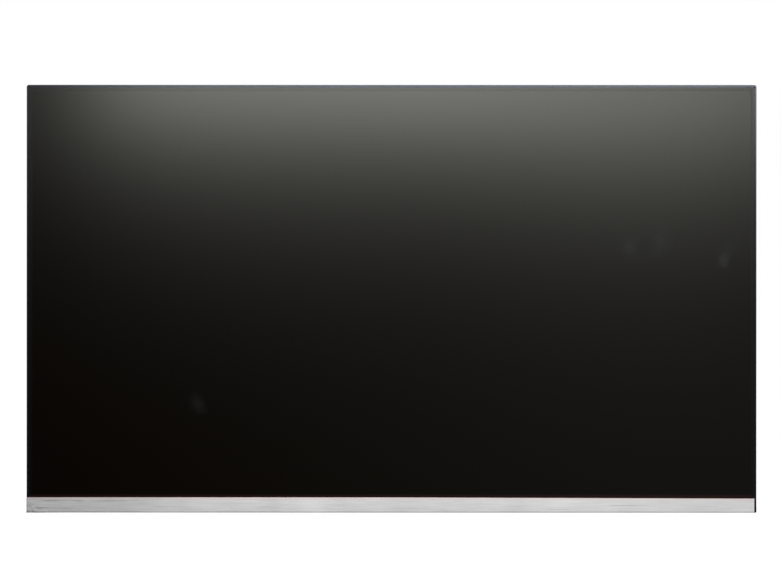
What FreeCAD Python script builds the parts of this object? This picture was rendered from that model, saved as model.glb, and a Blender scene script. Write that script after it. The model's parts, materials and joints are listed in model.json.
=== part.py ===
import FreeCAD
import Part

import math
import os

Vector = FreeCAD.Vector

# LCD screen panel: an edge-lit display module, borderless on three sides, for a 23.8 inch picture.
# X runs to the right and Z up as the viewer sees them, and Y runs from the front to the back.
# The origin is the centre of the four rear mounting holes, on the plane of their bosses.
# All lengths are in millimetres.

# Picture area, and the border round it out to the edge of the module
active_width = 527.04
active_height = 296.46
side_border = 3.98
top_border = 3.98
bottom_border = 13.16

# Thickness of each layer, front to back
bezel_sheet = 0.4
bezel_gap = 0.15
polarizer_thickness = 0.2
glass_thickness = 0.5
cell_tape_thickness = 0.5
ledge_thickness = 1.0
film_clearance = 0.2
prism_thickness = 0.25
diffuser_thickness = 0.2
guide_thickness = 3.0
reflector_thickness = 0.25
cover_sheet = 0.7

# Display cell
color_filter_margin = 3.0
bond_ledge = 4.0
polarizer_inset = 0.6
glass_corner_cut = 0.8
tape_edge_gap = 0.15

# Moulded mid frame
rim_width = 1.3
rim_setback = 0.1
rim_corner_radius = 1.6
rim_edge_cut = 0.25
post_corner_cut = 0.6
cell_clearance = 0.2
window_margin = 0.5
skirt_thickness = 0.9
skirt_end_clearance = 0.4

# Snap hooks of the mid frame, and the windows that they spring into
hook_length = 8.0
hook_reach = 0.7
hook_depth = 1.3
hook_ramp = 0.9
hook_window_clearance = 0.4
top_hook_count = 5
side_hook_count = 3
hook_end_margin = 42.0

# Pressed back cover
cover_setback = 0.1
cover_clearance = 0.1
cover_bend_radius = 1.0
corner_relief = 2.0
bead_count = 5
bead_pitch = 42.0
bead_width = 16.0
bead_end_cut = 4.0
bead_height = 1.5
bead_end_margin = 62.0
bead_group_rise = 12.0

# Rear mounting bosses, tapped M3
mount_boss_height = 2.0
mount_boss_top_radius = 7.0
mount_hole_radius = 1.25
mount_collar_wall = 0.75
mount_collar_length = 1.1
mount_edge_margin = 20.0
mount_spacing_z = 180.0

# Stand-offs and screws that hold the shield and the driver board under it, M2
standoff_height = 1.0
standoff_half_width = 3.2
standoff_corner_cut = 2.0
screw_shank_radius = 0.8
screw_thread_clearance = 0.05
screw_hole_clearance = 0.4
screw_tip_reach = 0.4
screw_head_radius = 1.8
screw_head_height = 0.8
screw_end_margin = 30.0
screw_inner = 96.0

# Bottom bezel, one folded strip
bezel_height = 11.3
bezel_right_inset = 1.7
bezel_right_drop = 0.8
bezel_tab_depth = 3.3
bezel_bend_radius = 0.6
bezel_rear_height = 5.0
bezel_shield_gap = 0.1

# Driver films and chips
driver_count = 4
driver_film_width = 46.0
driver_film_thickness = 0.1
driver_film_bend_radius = 1.2
driver_film_gap = 0.25
film_passage = 0.7
bond_start = 0.5
board_bond_height = 2.5
chip_width = 22.0
chip_height = 1.5
chip_thickness = 0.5
chip_below_glass = 0.5

# Driver board
board_thickness = 0.8
board_height = 20.0
board_end_margin = 17.5
board_above_cover_edge = 1.7
board_tab_half_width = 70.0
board_tab_height = 14.0
board_corner_cut = 1.5
insulator_thickness = 0.15
insulator_overhang = 0.8
insulator_hole_clearance = 0.5

# Parts on the driver board, each with its width, height and thickness
part_height_limit = 1.5
timing_chip_size = (10.0, 10.0, 1.0)
power_chip_size = (5.0, 5.0, 0.9)
capacitor_size = (1.6, 0.8, 0.8)
inductor_size = (3.0, 3.0, 1.2)
capacitor_pitch = 2.6
capacitors_per_row = 3
inductor_pitch = 5.0
inductor_count = 3
tab_part_gap = 4.0
band_part_edge = 2.2

# Signal socket, 30 contacts
socket_width = 23.0
socket_height = 4.6
socket_thickness = 1.4
socket_offset = 22.0
socket_mouth_wall = 0.3
socket_mouth_depth = 3.0
shell_sheet = 0.15
contact_count = 30
contact_pitch = 0.5
contact_width = 0.22
contact_thickness = 0.2
contact_solder_length = 1.0

# Shield over the driver board
shield_sheet = 0.4
shield_clearance = 0.2
shield_end_margin = 2.0
shield_setback = 6.5
shield_bend_radius = 0.8
shield_foot_width = 12.0
shield_foot_height = 5.8
shield_foot_cut = 1.2
vent_count = 7
vent_pitch = 4.0
vent_width = 1.8
vent_height = 7.0

# Backlight
led_tape_thickness = 0.2
led_board_thickness = 0.8
led_board_end_margin = 5.5
led_board_side_clearance = 0.15
led_count = 28
led_size = (4.0, 1.4, 0.9)
led_gap = 0.2
pad_thickness = 0.6
pad_length = 24.0
pad_offset_top = 150.0
pad_offset_side = 80.0
film_inset = 0.3
film_bottom_setback = 1.2
ear_width = 14.0
ear_reach = 1.6
ear_clearance = 1.0
ear_offsets = (-180.0, 0.0, 180.0)

# Flexible tail of the LED board, and its socket on the driver board
tail_width = 10.0
tail_thickness = 0.12
tail_led_gap = 0.15
tail_bend_radius = 1.0
tail_lift = 0.45
tail_end_margin = 10.0
tail_slot_clearance = 0.5
tail_insertion = 1.6
tail_socket_width = 15.0
tail_socket_height = 4.0
tail_socket_thickness = 1.3
tail_socket_rise = 5.2
tail_socket_slot_clearance = 0.08

# Outline of the module
half_width = active_width / 2 + side_border
module_height = top_border + active_height + bottom_border
top = module_height / 2
bottom = -module_height / 2
active_top = top - top_border
active_bottom = active_top - active_height

# Planes from the mounting bosses forwards
cover_back = -mount_boss_height
cover_floor = cover_back - cover_sheet
reflector_front = cover_floor - reflector_thickness
guide_front = reflector_front - guide_thickness
diffuser_front = guide_front - diffuser_thickness
lower_prism_front = diffuser_front - prism_thickness
upper_prism_front = lower_prism_front - prism_thickness
ledge_back = upper_prism_front - film_clearance
ledge_front = ledge_back - ledge_thickness
rear_polarizer_back = ledge_front - cell_tape_thickness
array_back = rear_polarizer_back - polarizer_thickness
array_front = array_back - glass_thickness
color_filter_front = array_front - glass_thickness
screen_front = color_filter_front - polarizer_thickness
bezel_inner_front = screen_front - bezel_gap
bezel_front = bezel_inner_front - bezel_sheet
rim_front = screen_front + rim_setback

# Planes from the back cover backwards
standoff_back = cover_back + standoff_height
board_back = standoff_back + board_thickness
shield_front = board_back + part_height_limit + shield_clearance
shield_back = shield_front + shield_sheet
bezel_back = shield_front - bezel_shield_gap

# Edges of the display cell
glass_side = half_width - rim_width - cell_clearance
glass_top = top - rim_width - cell_clearance
color_filter_bottom = active_bottom - color_filter_margin
array_bottom = color_filter_bottom - bond_ledge
polarizer_side = glass_side - polarizer_inset
polarizer_top = glass_top - polarizer_inset
polarizer_bottom = color_filter_bottom + polarizer_inset

# Edges of the mid frame and the back cover
window_side = active_width / 2 + window_margin
window_top = active_top + window_margin
window_bottom = active_bottom - window_margin
frame_bottom = bottom + bezel_sheet + film_passage
cover_side = half_width - cover_setback
cover_top = top - cover_setback
cover_bottom = frame_bottom + skirt_thickness + cover_clearance
cover_front = ledge_back + cover_clearance
skirt_side = cover_side - cover_sheet - cover_clearance
skirt_top = cover_top - cover_sheet - cover_clearance
skirt_inner_side = skirt_side - skirt_thickness
skirt_inner_top = skirt_top - skirt_thickness
skirt_back = cover_floor - skirt_end_clearance
tab_inner_side = half_width - bezel_sheet - cover_clearance
bezel_top = bottom + bezel_height

# Edges of the backlight, from the bottom wall of the back cover upwards
cover_bottom_inner = cover_bottom + cover_sheet
led_board_bottom = cover_bottom_inner + led_tape_thickness
led_board_top = led_board_bottom + led_board_thickness
led_top = led_board_top + led_size[2]
guide_bottom = led_top + led_gap
guide_side = skirt_inner_side - pad_thickness
guide_top = skirt_inner_top - pad_thickness
guide_middle = guide_front + guide_thickness / 2
film_side = guide_side - film_inset
film_top = guide_top - film_inset
film_bottom = guide_bottom + film_bottom_setback
led_board_front = ledge_back + led_board_side_clearance
led_board_back = cover_floor - (cover_bend_radius - cover_sheet) - led_board_side_clearance
led_board_side = guide_side - led_board_end_margin

# Edges of the driver board and its shield
board_side = half_width - board_end_margin
board_bottom = cover_bottom + board_above_cover_edge
board_top = board_bottom + board_height
board_tab_top = board_top + board_tab_height
shield_side = board_side - shield_end_margin
shield_top = board_top - shield_setback
shield_bottom = bottom + bezel_sheet + bezel_shield_gap
tail_x = -(board_side - tail_end_margin)
tail_socket_bottom = board_bottom + tail_socket_rise

# Positions that repeat
driver_pitch = active_width / driver_count
driver_positions = [(i - (driver_count - 1) / 2) * driver_pitch for i in range(driver_count)]
bottom_hook_positions = [(i - driver_count / 2) * driver_pitch for i in range(1, driver_count)]
mount_x = half_width - mount_edge_margin
mount_positions = [(sx * mount_x, sz * mount_spacing_z / 2) for sx in (-1, 1) for sz in (-1, 1)]
bead_positions = [bead_group_rise + (i - (bead_count - 1) / 2) * bead_pitch for i in range(bead_count)]
screw_z = shield_top + shield_foot_height / 2
screw_positions = [(sx * (board_side - screw_end_margin), screw_z) for sx in (-1, 1)]
screw_positions += [(sx * screw_inner, screw_z) for sx in (-1, 1)]

# Directions, a length that passes clean through anything it cuts, and one too short to count
BACK = Vector(0, 1, 0)
RIGHT = Vector(1, 0, 0)
UP = Vector(0, 0, 1)
THROUGH = 50.0
NO_LENGTH = 1e-6


# Shapes that several pieces use
def block(x, y, z):
    corner = Vector(x[0], y[0], z[0])
    return Part.makeBox(x[1] - x[0], y[1] - y[0], z[1] - z[0], corner)


def both_sides(value):
    return (-value, value)


def edges_where(shape, test):
    return [edge for edge in shape.Edges if all(test(v.Point) for v in edge.Vertexes)]


def near(a, b):
    return abs(a - b) < NO_LENGTH


def edges_through(shape):
    # The edges that run straight from the front to the back
    return [edge for edge in shape.Edges if near(abs(edge.tangentAt(edge.FirstParameter).y), 1)]


def cut_corner_plate(side, y, z, cut):
    # A flat rectangle across the module with its four corners cut off, as glass is
    shape = block(both_sides(side), y, z)
    return shape.makeChamfer(cut, edges_through(shape))


def bent_strip(start, foot, back, end, thickness, radius, x):
    # A strip that runs down from start, along a foot at its lowest level and up to end.
    # start and end are (y, z) on the outside of the strip, foot is the outer level, back is its rear y.
    y0, z0 = start
    y1, z1 = back, end
    inner = radius - thickness
    half = math.sqrt(0.5)

    def point(y, z):
        return Vector(x[0], y, z)

    front_centre = (y0 + radius, foot + radius)
    rear_centre = (y1 - radius, foot + radius)
    outline = [
        Part.LineSegment(point(y0, z0), point(y0, foot + radius)),
        Part.Arc(
            point(y0, foot + radius),
            point(front_centre[0] - radius * half, front_centre[1] - radius * half),
            point(y0 + radius, foot),
        ),
        Part.LineSegment(point(y0 + radius, foot), point(y1 - radius, foot)),
        Part.Arc(
            point(y1 - radius, foot),
            point(rear_centre[0] + radius * half, rear_centre[1] - radius * half),
            point(y1, foot + radius),
        ),
        Part.LineSegment(point(y1, foot + radius), point(y1, z1)),
        Part.LineSegment(point(y1, z1), point(y1 - thickness, z1)),
        Part.LineSegment(point(y1 - thickness, z1), point(y1 - thickness, foot + radius)),
        Part.Arc(
            point(y1 - thickness, foot + radius),
            point(rear_centre[0] + inner * half, rear_centre[1] - inner * half),
            point(y1 - radius, foot + thickness),
        ),
        Part.LineSegment(point(y1 - radius, foot + thickness), point(y0 + radius, foot + thickness)),
        Part.Arc(
            point(y0 + radius, foot + thickness),
            point(front_centre[0] - inner * half, front_centre[1] - inner * half),
            point(y0 + thickness, foot + radius),
        ),
        Part.LineSegment(point(y0 + thickness, foot + radius), point(y0 + thickness, z0)),
        Part.LineSegment(point(y0 + thickness, z0), point(y0, z0)),
    ]
    wire = Part.Wire([curve.toShape() for curve in outline])
    return Part.Face(wire).extrude(RIGHT * (x[1] - x[0]))


def cut_corner_outline(centre, half_length, half_breadth, cut, inset, y):
    # Closed outline of a pressed shape, its corners cut off at 45 degrees, drawn in by an inset all round
    x = half_length - inset
    z = half_breadth - inset
    leg = cut - inset * (2 - math.sqrt(2))
    corners = [
        (x - leg, z),
        (x, z - leg),
        (x, leg - z),
        (x - leg, -z),
        (leg - x, -z),
        (-x, leg - z),
        (-x, z - leg),
        (leg - x, z),
    ]
    points = [Vector(centre[0] + px, y, centre[1] + pz) for px, pz in corners]
    return Part.makePolygon(points + points[:1])


# Display cell
def make_front_polarizer():
    z = (polarizer_bottom, polarizer_top)
    return block(both_sides(polarizer_side), (screen_front, color_filter_front), z)


def make_color_filter_glass():
    z = (color_filter_bottom, glass_top)
    return cut_corner_plate(glass_side, (color_filter_front, array_front), z, glass_corner_cut)


def make_array_glass():
    z = (array_bottom, glass_top)
    return cut_corner_plate(glass_side, (array_front, array_back), z, glass_corner_cut)


def make_rear_polarizer():
    z = (polarizer_bottom, polarizer_top)
    return block(both_sides(polarizer_side), (array_back, rear_polarizer_back), z)


def make_cell_tape():
    # Four strips of foam tape between the rear polarizer and the ledge of the mid frame
    y = (rear_polarizer_back, ledge_front)
    inner_side = window_side + tape_edge_gap
    outer_side = polarizer_side - tape_edge_gap
    inner_top = window_top + tape_edge_gap
    outer_top = polarizer_top - tape_edge_gap
    inner_bottom = window_bottom - tape_edge_gap
    outer_bottom = polarizer_bottom + tape_edge_gap
    between = (inner_bottom, inner_top)
    strips = [
        block((-outer_side, -inner_side), y, between),
        block((inner_side, outer_side), y, between),
        block(both_sides(outer_side), y, (inner_top, outer_top)),
        block(both_sides(outer_side), y, (outer_bottom, inner_bottom)),
    ]
    return Part.makeCompound(strips)


# Driver films, each bonded to the array glass, bent under the module and bonded to the board
def make_driver_films():
    foot = frame_bottom - driver_film_gap - driver_film_thickness
    films = []
    for x in driver_positions:
        films.append(
            bent_strip(
                start=(array_front - driver_film_thickness, color_filter_bottom - bond_start),
                foot=foot,
                back=board_back + driver_film_thickness,
                end=board_bottom + board_bond_height,
                thickness=driver_film_thickness,
                radius=driver_film_bend_radius,
                x=(x - driver_film_width / 2, x + driver_film_width / 2),
            )
        )
    return Part.makeCompound(films)


def make_driver_chips():
    z_top = array_bottom - chip_below_glass
    y = (array_front, array_front + chip_thickness)
    chips = []
    for x in driver_positions:
        chips.append(block((x - chip_width / 2, x + chip_width / 2), y, (z_top - chip_height, z_top)))
    return Part.makeCompound(chips)


# Mid frame
def snap_hook(length):
    # A wedge that stands out along +X from x = 0, with its ramp towards the front, centred on z = 0
    outline = [
        Vector(0, 0, -length / 2),
        Vector(hook_reach, hook_ramp, -length / 2),
        Vector(hook_reach, hook_depth, -length / 2),
        Vector(0, hook_depth, -length / 2),
    ]
    return Part.Face(Part.makePolygon(outline + outline[:1])).extrude(UP * length)


def spread(count, low, high):
    # Evenly spaced places from low to high
    return [low + (high - low) * i / (count - 1) for i in range(count)]


def side_hook_places():
    return spread(side_hook_count, cover_bottom + hook_end_margin, cover_top - hook_end_margin)


def top_hook_places():
    return spread(top_hook_count, -cover_side + hook_end_margin, cover_side - hook_end_margin)


def hook_front():
    # The front of every hook on the three closed sides, half-way down the wall of the back cover
    return (cover_front + cover_back - hook_depth) / 2


def make_hooks():
    hooks = []
    for z in side_hook_places():
        right = snap_hook(hook_length)
        right.translate(Vector(skirt_side, hook_front(), z))
        hooks.append(right)
        hooks.append(right.mirror(Vector(0, 0, 0), RIGHT))
    upright = snap_hook(hook_length)
    upright.rotate(Vector(0, 0, 0), BACK, -90)
    for x in top_hook_places():
        hooks.append(upright.translated(Vector(x, hook_front(), skirt_top)))
    hanging = snap_hook(hook_length)
    hanging.rotate(Vector(0, 0, 0), BACK, 90)
    for x in bottom_hook_positions:
        hooks.append(hanging.translated(Vector(x, hook_front(), frame_bottom)))
    return hooks


def make_mid_frame():
    pocket_side = glass_side + cell_clearance
    post_top = cover_bottom + corner_relief - cover_clearance
    face = block(both_sides(half_width), (rim_front, ledge_back), (frame_bottom, top))
    corners = [e for e in edges_through(face) if near(e.CenterOfMass.z, top)]
    face = face.makeFillet(rim_corner_radius, corners)
    front_edges = edges_where(face, lambda p: near(p.y, rim_front) and p.z > frame_bottom + NO_LENGTH)
    side_edges = [
        e for e in edges_where(face, lambda p: near(p.y, rim_front))
        if near(abs(e.CenterOfMass.x), half_width)
    ]
    face = face.makeChamfer(rim_edge_cut, front_edges + side_edges)
    cell_pocket = block(
        both_sides(pocket_side),
        (rim_front - THROUGH, ledge_front),
        (bottom - THROUGH, glass_top + cell_clearance),
    )
    window = block(
        both_sides(window_side), (rim_front - THROUGH, cover_back), (window_bottom, window_top)
    )
    skirt = block(
        both_sides(skirt_side),
        (ledge_back, skirt_back),
        (cover_bottom_inner + skirt_end_clearance, skirt_top),
    )
    backlight_room = block(
        both_sides(skirt_inner_side),
        (ledge_back, cover_back),
        (bottom - THROUGH, skirt_inner_top),
    )
    rear_part = skirt.cut(backlight_room)
    bottom_skirt = block(
        (-tab_inner_side, half_width),
        (ledge_front, cover_back),
        (frame_bottom, frame_bottom + skirt_thickness),
    )
    right_post = block(
        (pocket_side, half_width),
        (rim_front, cover_back),
        (bottom + cover_clearance, post_top),
    )
    post_corner = edges_where(
        right_post, lambda p: near(p.x, half_width) and near(p.z, bottom + cover_clearance)
    )
    right_post = right_post.makeChamfer(post_corner_cut, post_corner)
    left_post = block(
        (-tab_inner_side, -pocket_side),
        (rim_front, cover_back),
        (bottom + bezel_sheet + cover_clearance, post_top),
    )
    bezel_tab_room = block(
        (-half_width - THROUGH, -tab_inner_side),
        (rim_front - THROUGH, cover_back + THROUGH),
        (bottom - THROUGH, bezel_top + cover_clearance),
    )
    ear_pockets = []
    for x in ear_offsets:
        ear_pockets.append(
            block(
                both_sides((ear_width + ear_clearance) / 2),
                (ledge_back, guide_front),
                (skirt_inner_top - skirt_thickness, skirt_top + cover_clearance / 2),
            ).translated(Vector(x, 0, 0))
        )
    frame = face.cut([cell_pocket, window])
    frame = frame.fuse([rear_part, bottom_skirt, right_post, left_post, *make_hooks()])
    frame = frame.cut([bezel_tab_room, *ear_pockets])
    return frame.removeSplitter()


# Back cover
def flank_inset():
    # How much narrower the hollow of a pressed shape is than its outside, with flanks at 45 degrees
    return cover_sheet * math.tan(math.radians(22.5))


def pressed_dome(x, z, top_radius, height):
    # The outside and the hollow of a round boss pressed out of the back of the cover
    base_radius = top_radius + height
    inset = flank_inset()
    outside = Part.makeCone(base_radius, top_radius, height, Vector(x, cover_back, z), BACK)
    hollow = Part.makeCone(
        base_radius - inset, top_radius - inset, height, Vector(x, cover_floor, z), BACK
    )
    return outside, hollow


def pressed_field(centre, half_length, half_breadth, cut, height):
    # The outside and the hollow of a flat-topped shape with cut corners, such as a bead or a pad
    def loft(base, start):
        low = cut_corner_outline(centre, half_length, half_breadth, cut, start, base)
        high = cut_corner_outline(centre, half_length, half_breadth, cut, start + height, base + height)
        return Part.makeLoft([low, high], True, True)

    return loft(cover_back, 0), loft(cover_floor, flank_inset())


def make_pan():
    # The floor and four walls, bent up from one sheet, with the corners relieved
    outside = block(both_sides(cover_side), (cover_front, cover_back), (cover_bottom, cover_top))
    bends = edges_where(outside, lambda p: near(p.y, cover_back))
    outside = outside.makeFillet(cover_bend_radius, bends)
    inside = block(
        both_sides(cover_side - cover_sheet),
        (cover_front - THROUGH, cover_floor),
        (cover_bottom_inner, cover_top - cover_sheet),
    )
    inner_bends = edges_where(inside, lambda p: near(p.y, cover_floor))
    inside = inside.makeFillet(cover_bend_radius - cover_sheet, inner_bends)
    reliefs = []
    for x in (-cover_side, cover_side):
        for z in (cover_bottom, cover_top):
            reliefs.append(
                block(
                    (x - corner_relief, x + corner_relief),
                    (cover_front - THROUGH, cover_back + THROUGH),
                    (z - corner_relief, z + corner_relief),
                )
            )
    return outside.cut([inside, *reliefs])


def hook_windows():
    # Openings in the side and top walls, one round each hook
    half = hook_length / 2 + hook_window_clearance
    y = (hook_front() - hook_window_clearance, hook_front() + hook_depth + hook_window_clearance)
    wall = cover_sheet + cover_clearance
    windows = []
    for z in side_hook_places():
        for x in (-cover_side, cover_side):
            windows.append(block((x - wall, x + wall), y, (z - half, z + half)))
    for x in top_hook_places():
        windows.append(block((x - half, x + half), y, (cover_top - wall, cover_top + wall)))
    return windows


def make_back_cover():
    outsides, hollows, holes, collars = [], [], [], []
    for z in bead_positions:
        outside, hollow = pressed_field(
            (0, z), half_width - bead_end_margin, bead_width / 2, bead_end_cut, bead_height
        )
        outsides.append(outside)
        hollows.append(hollow)
    for x, z in mount_positions:
        outside, hollow = pressed_dome(x, z, mount_boss_top_radius, mount_boss_height)
        outsides.append(outside)
        hollows.append(hollow)
        collar_back = -cover_sheet / 2
        collars.append(
            Part.makeCylinder(
                mount_hole_radius + mount_collar_wall,
                mount_collar_length + cover_sheet / 2,
                Vector(x, collar_back, z),
                -BACK,
            )
        )
        holes.append(
            Part.makeCylinder(mount_hole_radius, 2 * mount_boss_height, Vector(x, cover_back, z), BACK)
        )
    for centre in screw_positions:
        half = standoff_half_width + standoff_height
        outside, hollow = pressed_field(centre, half, half, standoff_corner_cut, standoff_height)
        outsides.append(outside)
        hollows.append(hollow)
        holes.append(
            Part.makeCylinder(
                screw_shank_radius + screw_thread_clearance,
                2 * standoff_height,
                Vector(centre[0], cover_back, centre[1]),
                BACK,
            )
        )
    tail_slot = block(
        (tail_x - tail_width / 2 - tail_slot_clearance, tail_x + tail_width / 2 + tail_slot_clearance),
        (cover_floor - THROUGH, cover_back + THROUGH),
        (led_board_top - tail_slot_clearance, led_board_top + tail_thickness + tail_slot_clearance),
    )
    cover = make_pan().fuse(outsides)
    cover = cover.cut(hollows)
    cover = cover.fuse(collars)
    return cover.cut([*holes, tail_slot, *hook_windows()]).removeSplitter()


# Bottom bezel
def bezel_taper():
    # What the upper edge loses where it slopes down from the middle to the right end
    corners = [
        Vector(0, bezel_front - THROUGH, bezel_top),
        Vector(half_width, bezel_front - THROUGH, bezel_top - bezel_right_drop),
        Vector(half_width, bezel_front - THROUGH, bezel_top + THROUGH),
        Vector(0, bezel_front - THROUGH, bezel_top + THROUGH),
    ]
    return Part.Face(Part.makePolygon(corners + corners[:1])).extrude(BACK * 2 * THROUGH)


def make_bottom_bezel():
    # A channel with a tall front flange, closed at its left end by a folded tab
    x = (-half_width, half_width - bezel_right_inset)
    channel = bent_strip(
        start=(bezel_front, bezel_top),
        foot=bottom,
        back=bezel_back,
        end=bottom + bezel_rear_height,
        thickness=bezel_sheet,
        radius=bezel_bend_radius,
        x=x,
    )
    tab_bottom = bottom + 2 * bezel_bend_radius
    tab = block(
        both_sides(half_width),
        (bezel_front, bezel_front + bezel_tab_depth),
        (tab_bottom, bezel_top),
    )
    bend = edges_where(tab, lambda p: near(p.x, -half_width) and near(p.y, bezel_front))
    tab = tab.makeFillet(bezel_bend_radius, bend)
    tab_room = block(
        (-half_width + bezel_sheet, half_width + THROUGH),
        (bezel_inner_front, bezel_back + THROUGH),
        (bottom - THROUGH, bezel_top + THROUGH),
    )
    inner_bend = edges_where(
        tab_room, lambda p: near(p.x, -half_width + bezel_sheet) and near(p.y, bezel_inner_front)
    )
    tab_room = tab_room.makeFillet(bezel_bend_radius - bezel_sheet, inner_bend)
    tab = tab.cut(tab_room).common(block((-half_width, 0), both_sides(THROUGH), (tab_bottom, bezel_top)))
    square_end = block(
        (-half_width, -half_width + bezel_bend_radius),
        (bezel_front, bezel_inner_front),
        (tab_bottom, bezel_top),
    )
    half = hook_length / 2 + hook_window_clearance
    windows = []
    for hook_x in bottom_hook_positions:
        windows.append(
            block(
                (hook_x - half, hook_x + half),
                (hook_front() - hook_window_clearance, hook_front() + hook_depth + hook_window_clearance),
                (bottom - bezel_sheet, bottom + 2 * bezel_sheet),
            )
        )
    return channel.cut([square_end, bezel_taper(), *windows]).fuse(tab).removeSplitter()


# Driver board and what it carries
def board_outline(y, overhang):
    # The long strip with its tab in the middle, grown by an overhang all round
    strip = block(
        both_sides(board_side + overhang), y, (board_bottom - overhang, board_top + overhang)
    )
    tab = block(
        both_sides(board_tab_half_width + overhang), y, (board_bottom, board_tab_top + overhang)
    )
    return strip.fuse(tab).removeSplitter()


def tail_notch(y):
    # Room at the bottom edge of the board for the tail to come through
    return block(
        (tail_x - tail_width / 2 - tail_slot_clearance, tail_x + tail_width / 2 + tail_slot_clearance),
        y,
        (board_bottom - THROUGH, board_bottom + tail_bend_radius + tail_slot_clearance),
    )


def make_driver_board():
    y = (standoff_back, board_back)
    board = board_outline(y, 0)
    corners = [e for e in edges_through(board) if e.CenterOfMass.z > board_bottom + board_thickness]
    board = board.makeChamfer(board_corner_cut, corners)
    holes = [tail_notch((y[0] - THROUGH, y[1] + THROUGH))]
    for x, z in screw_positions:
        holes.append(
            Part.makeCylinder(
                screw_shank_radius + screw_hole_clearance, THROUGH, Vector(x, -THROUGH / 2, z), BACK
            )
        )
    return board.cut(holes)


def make_board_insulator():
    # A thin sheet on the back cover, cut out round the stand-offs
    y = (cover_back, cover_back + insulator_thickness)
    sheet = board_outline(y, insulator_overhang)
    holes = [tail_notch((y[0] - THROUGH, y[1] + THROUGH))]
    half = standoff_half_width + standoff_height + insulator_hole_clearance
    for x, z in screw_positions:
        holes.append(block((x - half, x + half), (y[0] - THROUGH, y[1] + THROUGH), (z - half, z + half)))
    return sheet.cut(holes)


def on_board(x, z, size):
    # A chip part that stands on the back of the board, centred on x and z
    width, height, thickness = size
    return block(
        (x - width / 2, x + width / 2),
        (board_back, board_back + thickness),
        (z - height / 2, z + height / 2),
    )


def covered_middle():
    # Half-way up the room under the shield, above the bonded ends of the driver films
    return (board_bottom + board_bond_height + shield_top - shield_sheet) / 2


def tab_middle():
    # Half-way up the tab
    return (board_top + board_tab_top) / 2


def make_timing_chip():
    return on_board(0, covered_middle(), timing_chip_size)


def make_power_chip():
    return on_board(-socket_offset, tab_middle(), power_chip_size)


def make_board_capacitors():
    # One row over each driver film and between them, along the open band, and one beside the signal socket
    row = [(i - (capacitors_per_row - 1) / 2) * capacitor_pitch for i in range(capacitors_per_row)]
    capacitors = []
    for x in [*bottom_hook_positions, *driver_positions]:
        for step in row:
            capacitors.append(on_board(x + step, board_top - band_part_edge, capacitor_size))
    beside_socket = socket_offset + (socket_width + capacitors_per_row * capacitor_pitch) / 2
    for step in row:
        capacitors.append(on_board(beside_socket + step, tab_middle(), capacitor_size))
    return Part.makeCompound(capacitors)


def make_board_inductors():
    # A row to the left of the power chip
    first = -socket_offset - power_chip_size[0] / 2 - tab_part_gap
    places = [first - i * inductor_pitch for i in range(inductor_count)]
    return Part.makeCompound([on_board(x, tab_middle(), inductor_size) for x in places])


def socket_top():
    return board_tab_top - socket_mouth_wall


def make_signal_socket_housing():
    # A low moulding with a mouth along its upper edge
    z = (socket_top() - socket_height, socket_top())
    x = (socket_offset - socket_width / 2, socket_offset + socket_width / 2)
    wall = socket_mouth_wall
    body = block(x, (board_back, board_back + socket_thickness - shell_sheet), z)
    mouth = block(
        (x[0] + 2 * wall, x[1] - 2 * wall),
        (board_back + wall, board_back + socket_thickness - shell_sheet - wall),
        (z[1] - socket_mouth_depth, z[1] + THROUGH),
    )
    return body.cut(mouth)


def make_signal_socket_shell():
    # The stamped cover over the moulding, turned down at both ends
    z = (socket_top() - socket_height, socket_top())
    half = socket_width / 2
    outside = block(
        (socket_offset - half - shell_sheet, socket_offset + half + shell_sheet),
        (board_back, board_back + socket_thickness),
        z,
    )
    inside = block(
        (socket_offset - half, socket_offset + half),
        (board_back - THROUGH, board_back + socket_thickness - shell_sheet),
        (z[0] - THROUGH, z[1] + THROUGH),
    )
    return outside.cut(inside)


def make_signal_socket_contacts():
    # The solder feet that stand out behind the moulding
    z_top = socket_top() - socket_height
    contacts = []
    for i in range(contact_count):
        x = socket_offset + (i - (contact_count - 1) / 2) * contact_pitch
        contacts.append(
            block(
                (x - contact_width / 2, x + contact_width / 2),
                (board_back, board_back + contact_thickness),
                (z_top - contact_solder_length, z_top),
            )
        )
    return Part.makeCompound(contacts)


def make_backlight_socket():
    # A small socket whose slot opens downwards for the tail
    z = (tail_socket_bottom, tail_socket_bottom + tail_socket_height)
    x = (tail_x - tail_socket_width / 2, tail_x + tail_socket_width / 2)
    body = block(x, (board_back, board_back + tail_socket_thickness), z)
    gap = tail_socket_slot_clearance
    slot = block(
        (tail_x - tail_width / 2 - gap, tail_x + tail_width / 2 + gap),
        (board_back + tail_lift - gap, board_back + tail_lift + tail_thickness + gap),
        (z[0] - THROUGH, z[0] + tail_insertion + gap),
    )
    return body.cut(slot)


def screw(x, z):
    # A low round head on the foot of the shield, and a plain shank through the board into the stand-off
    seat = board_back + shield_sheet
    tip = standoff_back - cover_sheet - screw_tip_reach
    head = Part.makeCylinder(screw_head_radius, screw_head_height, Vector(x, seat, z), BACK)
    shank = Part.makeCylinder(screw_shank_radius, seat - tip, Vector(x, tip, z), BACK)
    return head.fuse(shank).removeSplitter()


def make_board_screws():
    return Part.makeCompound([screw(x, z) for x, z in screw_positions])


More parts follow.
